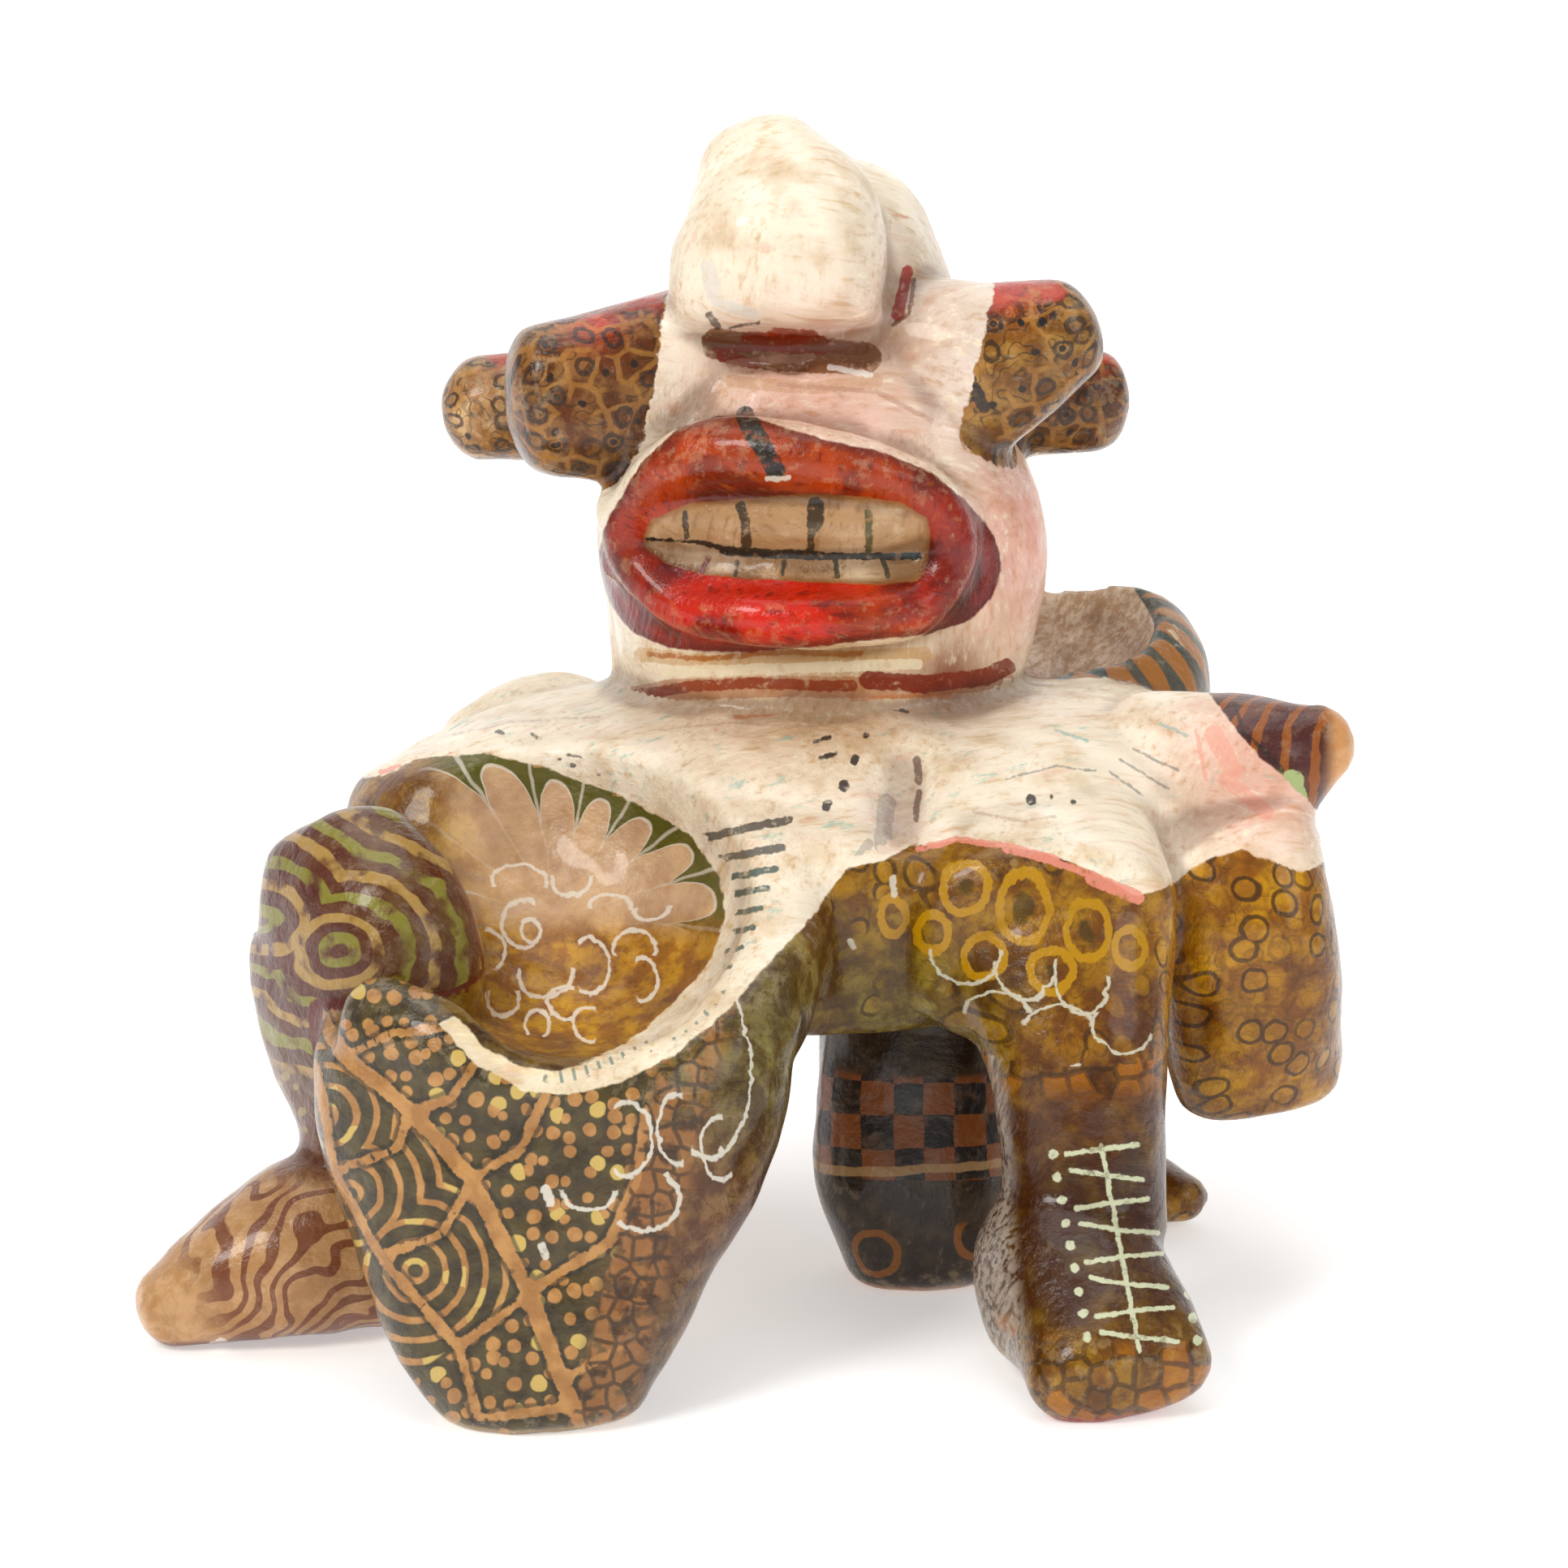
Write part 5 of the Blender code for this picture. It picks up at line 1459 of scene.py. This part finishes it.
def bodyPaint(tree, place):
    colour, height = hideBase(tree, place, 0.12, 0.35)
    x, y, z = split(tree, place)
    spot, seen = penSpot(tree, 1.2, 7.0)
    near, inside = nearestOval(tree, spot, bodyRings["ovals"])
    upper = maths(tree, "MULTIPLY", seen, ramped(tree, z, 66.0, 74.0))
    ring = brushed(tree, maths(tree, "SUBTRACT", near, bodyRings["line"] / 2),
                   gritOn(tree, spot), 0.9)
    colour = blend(tree, maths(tree, "MULTIPLY", partly(tree, inside, -3.0, -4.0, 0.75), upper), colour,
                   linear(bodyRings["core"]))
    colour = blend(tree, maths(tree, "MULTIPLY", ring, upper), colour, linear(bodyRings["tan"]))
    flat = together(tree, maths(tree, "MULTIPLY_ADD", y, 0.55, x), z, 0.0)
    flat = use(tree, groups["handWobble"], {"Place": flat, "Amount": 1.8, "Spacing": 8.0})["Place"]
    small = use(tree, groups["cellPaint"], {"Place": flat, "Spacing": 8.4, "Line": 1.0})
    loops = maths(tree, "ABSOLUTE", maths(tree, "SUBTRACT", small["Middle"], 2.7))
    loops = maths(tree, "MULTIPLY", ramped(tree, loops, 0.65, 0.3), ramped(tree, small["Random"], 0.3, 0.4))
    loops = maths(tree, "MAXIMUM", loops, maths(tree, "MULTIPLY", small["Line"], 0.25))
    patch = noise(tree, scaled(tree, place, 1 / 15), 1.0).outputs["Fac"]
    rest = maths(tree, "MULTIPLY", partly(tree, inside, 1.0, 3.0, 1.0), partly(tree, patch, 0.62, 0.42, 0.8))
    right = ramped(tree, x, 84.0, 92.0)
    rest = maths(tree, "MAXIMUM", rest, maths(tree, "MULTIPLY", right, 0.85))
    filled = maths(tree, "MULTIPLY", partly(tree, small["Middle"], 2.6, 2.2, 0.3), rest)
    colour = blend(tree, filled, colour, linear("#b68a48"))
    colour = blend(tree, maths(tree, "MULTIPLY", loops, rest), colour, linear("#3d2811"))
    colour = drawnMarks(tree, colour, (bodyRings["dabs"],))
    colour = drawnArcs(tree, colour, "#cbc6b2", 0.8, bodyRings["arcs"])
    return drawnMarks(tree, framedByCream(tree, place, colour), (salmon,)), height


ladder = {"top": (1357, 1412), "bottom": (1404, 1665), "rungs": 8, "reach": (44, 50), "slant": 7,
          "line": 1.15, "tone": "#cdd0b2", "dots": 9, "dotReach": (60, 76), "dotSize": 2.2}


def ladderMarks():
    # a spine with rungs across it, and a row of dots on each side, evenly from top to bottom
    top, bottom = np.array(ladder["top"], float), np.array(ladder["bottom"], float)
    paths = [(ladder["line"], (tuple(top), tuple(bottom)))]
    for k in range(ladder["rungs"]):
        middle = top + (bottom - top) * (k + 0.1) / (ladder["rungs"] - 0.4)
        left, right = ladder["reach"]
        bend = ladder["slant"] * (1 if k % 2 else -1)
        paths.append((ladder["line"], ((middle[0] - left, middle[1] - bend), tuple(middle),
                                       (middle[0] + right - 6 * (k < 3), middle[1] + bend * 0.6))))
    for k in range(ladder["dots"]):
        middle = top + (bottom - top) * (k + 0.15) / ladder["dots"]
        left, right = ladder["dotReach"]
        paths.append((ladder["dotSize"], ((middle[0] - left, middle[1] + 6),)))
        if k > 1:
            paths.append((ladder["dotSize"], ((middle[0] + right, middle[1] + 10),)))
    return (ladder["tone"], 0.95, *paths)


def shinPaint(tree, place):
    colour, height = hideBase(tree, place, 0.1, 0.3)
    x, _, z = split(tree, place)
    fibres = use(tree, groups["brushFibres"], {"Place": place})
    spot, _ = penSpot(tree, 0.8, 5.0)
    cell = use(tree, groups["cellPaint"], {"Place": spot, "Spacing": 5.6, "Line": 1.3})
    core = maths(tree, "MULTIPLY", ramped(tree, z, 18.0, 26.0), ramped(tree, z, 74.0, 60.0))
    colour = blend(tree, maths(tree, "MULTIPLY", core, partly(tree, fibres["Blotches"], 0.72, 0.40, 0.85)),
                   colour, linear("#3d1d10"))
    toe = maths(tree, "MAXIMUM", ramped(tree, z, 23.0, 17.0), ramped(tree, z, 62.0, 70.0))
    colour = blend(tree, maths(tree, "MULTIPLY", partly(tree, cell["Random"], 0.5, 0.6, 0.5), toe), colour,
                   linear("#b36f2c"))
    colour = blend(tree, maths(tree, "MULTIPLY", maths(tree, "MULTIPLY", cell["Line"], toe), 0.7), colour,
                   linear("#33200f"))
    inner = maths(tree, "SUBTRACT", maths(tree, "MULTIPLY_ADD", z, -0.06, 52.5), x)
    inner = maths(tree, "MULTIPLY", ramped(tree, inner, -1.5, 2.5),
                  partly(tree, fibres["Streaks"], 0.40, 0.56, 0.8))
    colour = blend(tree, inner, colour, linear("#a89b8d"))
    colour = drawnMarks(tree, colour, (ladderMarks(),))
    return blend(tree, partly(tree, z, 3.6, 2.2, 0.85), colour, linear("#8c2f20")), height


checks = {"size": 7.4, "dark": "#231c19", "light": "#7f5036", "low": 30.0, "high": 53.0}


def checkerPaint(tree, place):
    colour, height = hideBase(tree, place, 0.25, 0.4)
    flat = wrapPlace(tree, "checkerWrap", 0.7, 6.0)
    arc, along, _ = split(tree, flat)
    _, _, z = split(tree, place)
    colour = blend(tree, 0.55, colour, linear("#2c221c"))
    steps = [maths(tree, "FLOOR", maths(tree, "DIVIDE", value, checks["size"])) for value in (arc, along)]
    odd = maths(tree, "PINGPONG", maths(tree, "ADD", *steps), 1.0)
    mottle = noise(tree, scaled(tree, place, 1 / 4), 4.0, 0.6).outputs["Fac"]
    square = blend(tree, maths(tree, "GREATER_THAN", odd, 0.5), linear(checks["dark"]),
                   linear(checks["light"]))
    square = blend(tree, partly(tree, mottle, 0.45, 0.75, 0.7), square, linear("#75604f"))
    on = maths(tree, "MULTIPLY", ramped(tree, z, checks["low"], checks["low"] + 0.8),
               ramped(tree, z, checks["high"] + 2.0, checks["high"]))
    colour = blend(tree, on, colour, square)
    stripe = maths(tree, "ABSOLUTE", maths(tree, "SUBTRACT", along, 25.0))
    colour = blend(tree, partly(tree, stripe, 1.2, 0.8, 0.85), colour, linear("#a98a66"))
    cell = use(tree, groups["cellPaint"], {"Place": flat, "Spacing": 19.0, "Line": 1.0})
    ring = maths(tree, "ABSOLUTE", maths(tree, "SUBTRACT", cell["Middle"], 5.2))
    ring = maths(tree, "MULTIPLY", partly(tree, ring, 1.1, 0.7, 0.9), ramped(tree, z, 21.0, 19.0))
    colour = blend(tree, ring, colour, linear("#8a5a34"))
    return blend(tree, partly(tree, z, 4.0, 2.4, 0.8), colour, linear("#9a6a44")), height


rearTrim = {"rim": "#3d423c", "zigzag": "#a9713f", "step": 9.0, "teeth": 3.6, "line": 1.2}
hornTrim = {"ground": "#4a2420", "stripe": "#9c5c30", "tip": "#cf9a6a", "patch": "#a9b87f"}
hornMarks = (
    (hornTrim["patch"], 0.9, (5.2, ((1592, 962), (1598, 990)))),
    ("#5e7e3e", 0.6, (1.4, ((1578, 950), (1586, 984)))),
    ("#2b1d1a", 0.8, (1.2, ((1530, 900), (1560, 928), (1580, 950))), (1.0, ((1520, 868), (1530, 892)))),
)


def rearPaint(tree, place):
    colour, height = hideBase(tree, place, 0.25, 0.3)
    fibres = use(tree, groups["brushFibres"], {"Place": place})
    x, y, z = split(tree, place)
    _, around, _ = split(tree, field(tree, "bowls"))
    _, rearIn, _ = split(tree, field(tree, "limbEdges"))
    inner = blend(tree, partly(tree, fibres["Streaks"], 0.40, 0.62, 0.9), linear("#c6a68b"),
                  linear("#ead8c6"))
    inner = blend(tree, partly(tree, fibres["Blotches"], 0.52, 0.66, 0.5), inner, linear("#9b7a5e"))
    back = ramped(tree, y, 20.0, 30.0)
    wall = blend(tree, partly(tree, fibres["Blotches"], 0.45, 0.62, 0.8), linear(rearTrim["rim"]),
                 linear("#5b5344"))
    step = maths(tree, "FRACT", maths(tree, "DIVIDE", around, rearTrim["step"]))
    tooth = maths(tree, "MULTIPLY", maths(tree, "ABSOLUTE", maths(tree, "SUBTRACT", step, 0.5)),
                  rearTrim["teeth"] * 2)
    zig = maths(tree, "ABSOLUTE", maths(tree, "ADD", maths(tree, "ADD", rearIn, tooth), -1.5))
    wall = blend(tree, partly(tree, zig, rearTrim["line"] + 0.5, rearTrim["line"], 0.9), wall,
                 linear(rearTrim["zigzag"]))
    low = maths(tree, "SUBTRACT", z, 106.0)
    colour = blend(tree, maths(tree, "MULTIPLY", back, ramped(tree, low, 0.0, 6.0)), colour, wall)
    colour = blend(tree, maths(tree, "MULTIPLY", coveredBy(
        tree, maths(tree, "SUBTRACT", rearIn, 3.5), place, 0.8), back), colour, inner)
    arc, along, _ = split(tree, wrapPlace(tree, "hornWrap", 1.4, 7.0))
    horn = maths(tree, "MULTIPLY", ramped(tree, x, 97.0, 100.0), ramped(tree, y, 12.0, 4.0))
    bands = use(tree, groups["bandPaint"], {"Value": maths(tree, "MULTIPLY_ADD", arc, 0.45, along),
                                            "Spacing": 7.0, "Line": 2.0})["Mask"]
    ground = blend(tree, partly(tree, fibres["Blotches"], 0.48, 0.64, 0.7), linear(hornTrim["ground"]),
                   linear("#6d4433"))
    ground = blend(tree, partly(tree, bands, 0.2, 0.8, 0.75), ground, linear(hornTrim["stripe"]))
    ground = blend(tree, ramped(tree, x, 122.0, 127.0), ground, linear(hornTrim["tip"]))
    colour = blend(tree, horn, colour, ground)
    colour = drawnMarks(tree, colour, hornMarks)
    return drawnMarks(tree, framedByCream(tree, place, colour), (rosePatch,)), height


def paintMaterial(name, build, gloss, hollowDark, relief, rich):
    material = bpy.data.materials.new(name)
    material.use_nodes = True
    tree = material.node_tree
    shader = tree.nodes["Principled BSDF"]
    shader.inputs["Specular IOR Level"].default_value = 0.3
    shader.inputs["Coat Weight"].default_value = 0.25
    shader.inputs["Coat Roughness"].default_value = 0.08
    place = field(tree, "place")
    colour, height = build(tree, place)
    _, _, low = split(tree, field(tree, "moreEdges"))
    made = use(tree, groups["handMade"], {"Colour": colour, "Hollow": low, "Place": place,
                                          "HollowDark": hollowDark, "Gloss": gloss, "Rich": rich})
    tree.links.new(made["Colour"], shader.inputs["Base Color"])
    tree.links.new(made["Roughness"], shader.inputs["Roughness"])
    bump = lay(tree, "Bump", {"Height": height, "Strength": relief, "Distance": 0.0007})
    tree.links.new(bump.outputs["Normal"], shader.inputs["Normal"])
    return material


# name: (paint, gloss, darkening in hollows, relief, richness of colour)
paints = {
    "head": (headPaint, 0.24, 0.5, 0.8, 1.12), "mouth": (mouthPaint, 0.1, 0.5, 0.8, 1.1),
    "lobes": (lobePaint, 0.12, 0.4, 0.8, 1.05), "deck": (deckPaint, 0.26, 0.45, 0.8, 1.12),
    "bowl": (bowlPaint, 0.16, 0.3, 0.7, 1.25), "boot": (bootPaint, 0.1, 0.3, 0.8, 1.02),
    "leftLimb": (leftPaint, 0.1, 0.35, 0.8, 1.02), "body": (bodyPaint, 0.14, 0.4, 0.8, 1.16),
    "shin": (shinPaint, 0.1, 0.35, 0.8, 1.2), "checker": (checkerPaint, 0.16, 0.4, 0.7, 1.15),
    "rear": (rearPaint, 0.2, 0.4, 0.7, 1.1),
}
paintNames = list(paints)

# which paint each point takes, the first rule that holds
rules = (
    ("rear", (rearField > -3) & (rearField < 40) & (z > 104)
     | (rearEdge > -4) & (y > 25) & (z > 112) & (x > 22)),
    ("lobes", (lobeEdge > -6) & (lipsEdge < -1.5)),
    ("mouth", (lipsEdge > -4) & (y < 22)),
    ("head", nearTo("head", "nose", "upperTeeth", "lowerTeeth", *lobeNames) & (z > 121)),
    ("deck", creamEdge > 3),
    ("bowl", (bowlEdge > -2.2) & (leftEdge < 0.6)),
    ("leftLimb", nearTo("leftLeg", "leftFoot")),
    ("boot", nearTo("boot", "bowlSide", "bowlRim") & (y < -55)),
    ("shin", nearTo("shin", "foot", "thigh") & (z < 72) & (y < -48)),
    ("checker", nearTo("checkerLeg") & (z < 70)),
    ("rear", nearTo("sideHorn") & (x > 96)),
)
zone = np.full(len(drawn), paintNames.index("body"))
for paintName, holds in reversed(rules):
    zone[holds] = paintNames.index(paintName)
corners = np.empty(len(figureMesh.loops), np.int32)
figureMesh.loops.foreach_get("vertex_index", corners)
starts = np.empty(len(figureMesh.polygons), np.int32)
figureMesh.polygons.foreach_get("loop_start", starts)
figureMesh.materials.clear()
for paintName, settings in paints.items():
    figureMesh.materials.append(paintMaterial(paintName + "Paint", *settings))
figureMesh.polygons.foreach_set("material_index", zone[corners[starts]].astype(np.int32))
print("paint:", len(paints), "materials")




def standCamera():
    data = bpy.data.cameras.new("camera")
    data.lens = view["lens"]
    data.sensor_width = 36
    obj = bpy.data.objects.new("camera", data)
    scene.collection.objects.link(obj)
    up = math.radians(view["elevation"])
    target = Vector(view["target"]) + Vector(shift)
    place = target + Vector((0, -math.cos(up), math.sin(up))) * view["distance"]
    obj.location = place / 1000
    obj.rotation_euler = (math.radians(90 - view["elevation"]), 0, 0)
    data.clip_start, data.clip_end = 0.05, 20
    scene.camera = obj


def pale(name, colour, roughness, glow):
    material = bpy.data.materials.new(name)
    material.use_nodes = True
    shader = material.node_tree.nodes["Principled BSDF"]
    shader.inputs["Base Color"].default_value = (*colour, 1)
    shader.inputs["Roughness"].default_value = roughness
    shader.inputs["Emission Color"].default_value = (1, 1, 1, 1)
    shader.inputs["Emission Strength"].default_value = glow
    return material


def layFloor():
    # a sweep: flat in front, then a quarter circle up to a far wall
    x = np.linspace(-3, 3, 5)
    bend = np.linspace(0, np.pi / 2, 17)
    y = np.concatenate([[-3.0], 1.6 + 0.8 * np.sin(bend), [2.4]])
    z = np.concatenate([[0.0], 0.8 * (1 - np.cos(bend)), [3.4]])
    grid = np.stack(np.broadcast_arrays(x[None, :], y[:, None], z[:, None]), axis=-1)
    rows, columns = grid.shape[:2]
    i, j = np.meshgrid(np.arange(rows - 1), np.arange(columns - 1), indexing="ij")
    corner = i * columns + j
    quads = np.stack([corner, corner + 1, corner + columns + 1, corner + columns], axis=-1)
    mesh = bpy.data.meshes.new("sweep")
    mesh.from_pydata(grid.reshape(-1, 3).tolist(), [], quads.reshape(-1, 4).tolist())
    mesh.shade_smooth()
    mesh.materials.append(pale("paleSweep", (0.93, 0.93, 0.93), 0.9, 0.42))
    obj = bpy.data.objects.new("sweep", mesh)
    scene.collection.objects.link(obj)


# name: (place, size, power, colour)
lamps = {
    "key": ((-0.9, -1.1, 1.3), 0.6, 15, (1.0, 0.98, 0.95)),
    "fill": ((1.2, -1.0, 0.9), 0.9, 5, (0.97, 0.98, 1.0)),
    "top": ((0.0, 0.2, 1.6), 1.4, 9, (1.0, 1.0, 1.0)),
}


def hangLamp(name, place, size, power, colour):
    data = bpy.data.lights.new(name, "AREA")
    data.shape, data.size, data.energy, data.color = "DISK", size, power, colour
    obj = bpy.data.objects.new(name, data)
    scene.collection.objects.link(obj)
    obj.location = place
    obj.rotation_euler = (Vector((0, 0, 0.12)) - obj.location).to_track_quat("-Z", "Y").to_euler()


def lightRoom():
    world = bpy.data.worlds.new("room")
    world.use_nodes = True
    world.node_tree.nodes["Background"].inputs["Color"].default_value = (1, 1, 1, 1)
    world.node_tree.nodes["Background"].inputs["Strength"].default_value = 0.42
    scene.world = world


standCamera()
layFloor()
for lampName, lamp in lamps.items():
    hangLamp(lampName, *lamp)
lightRoom()
print("studio: camera, sweep and lamps")
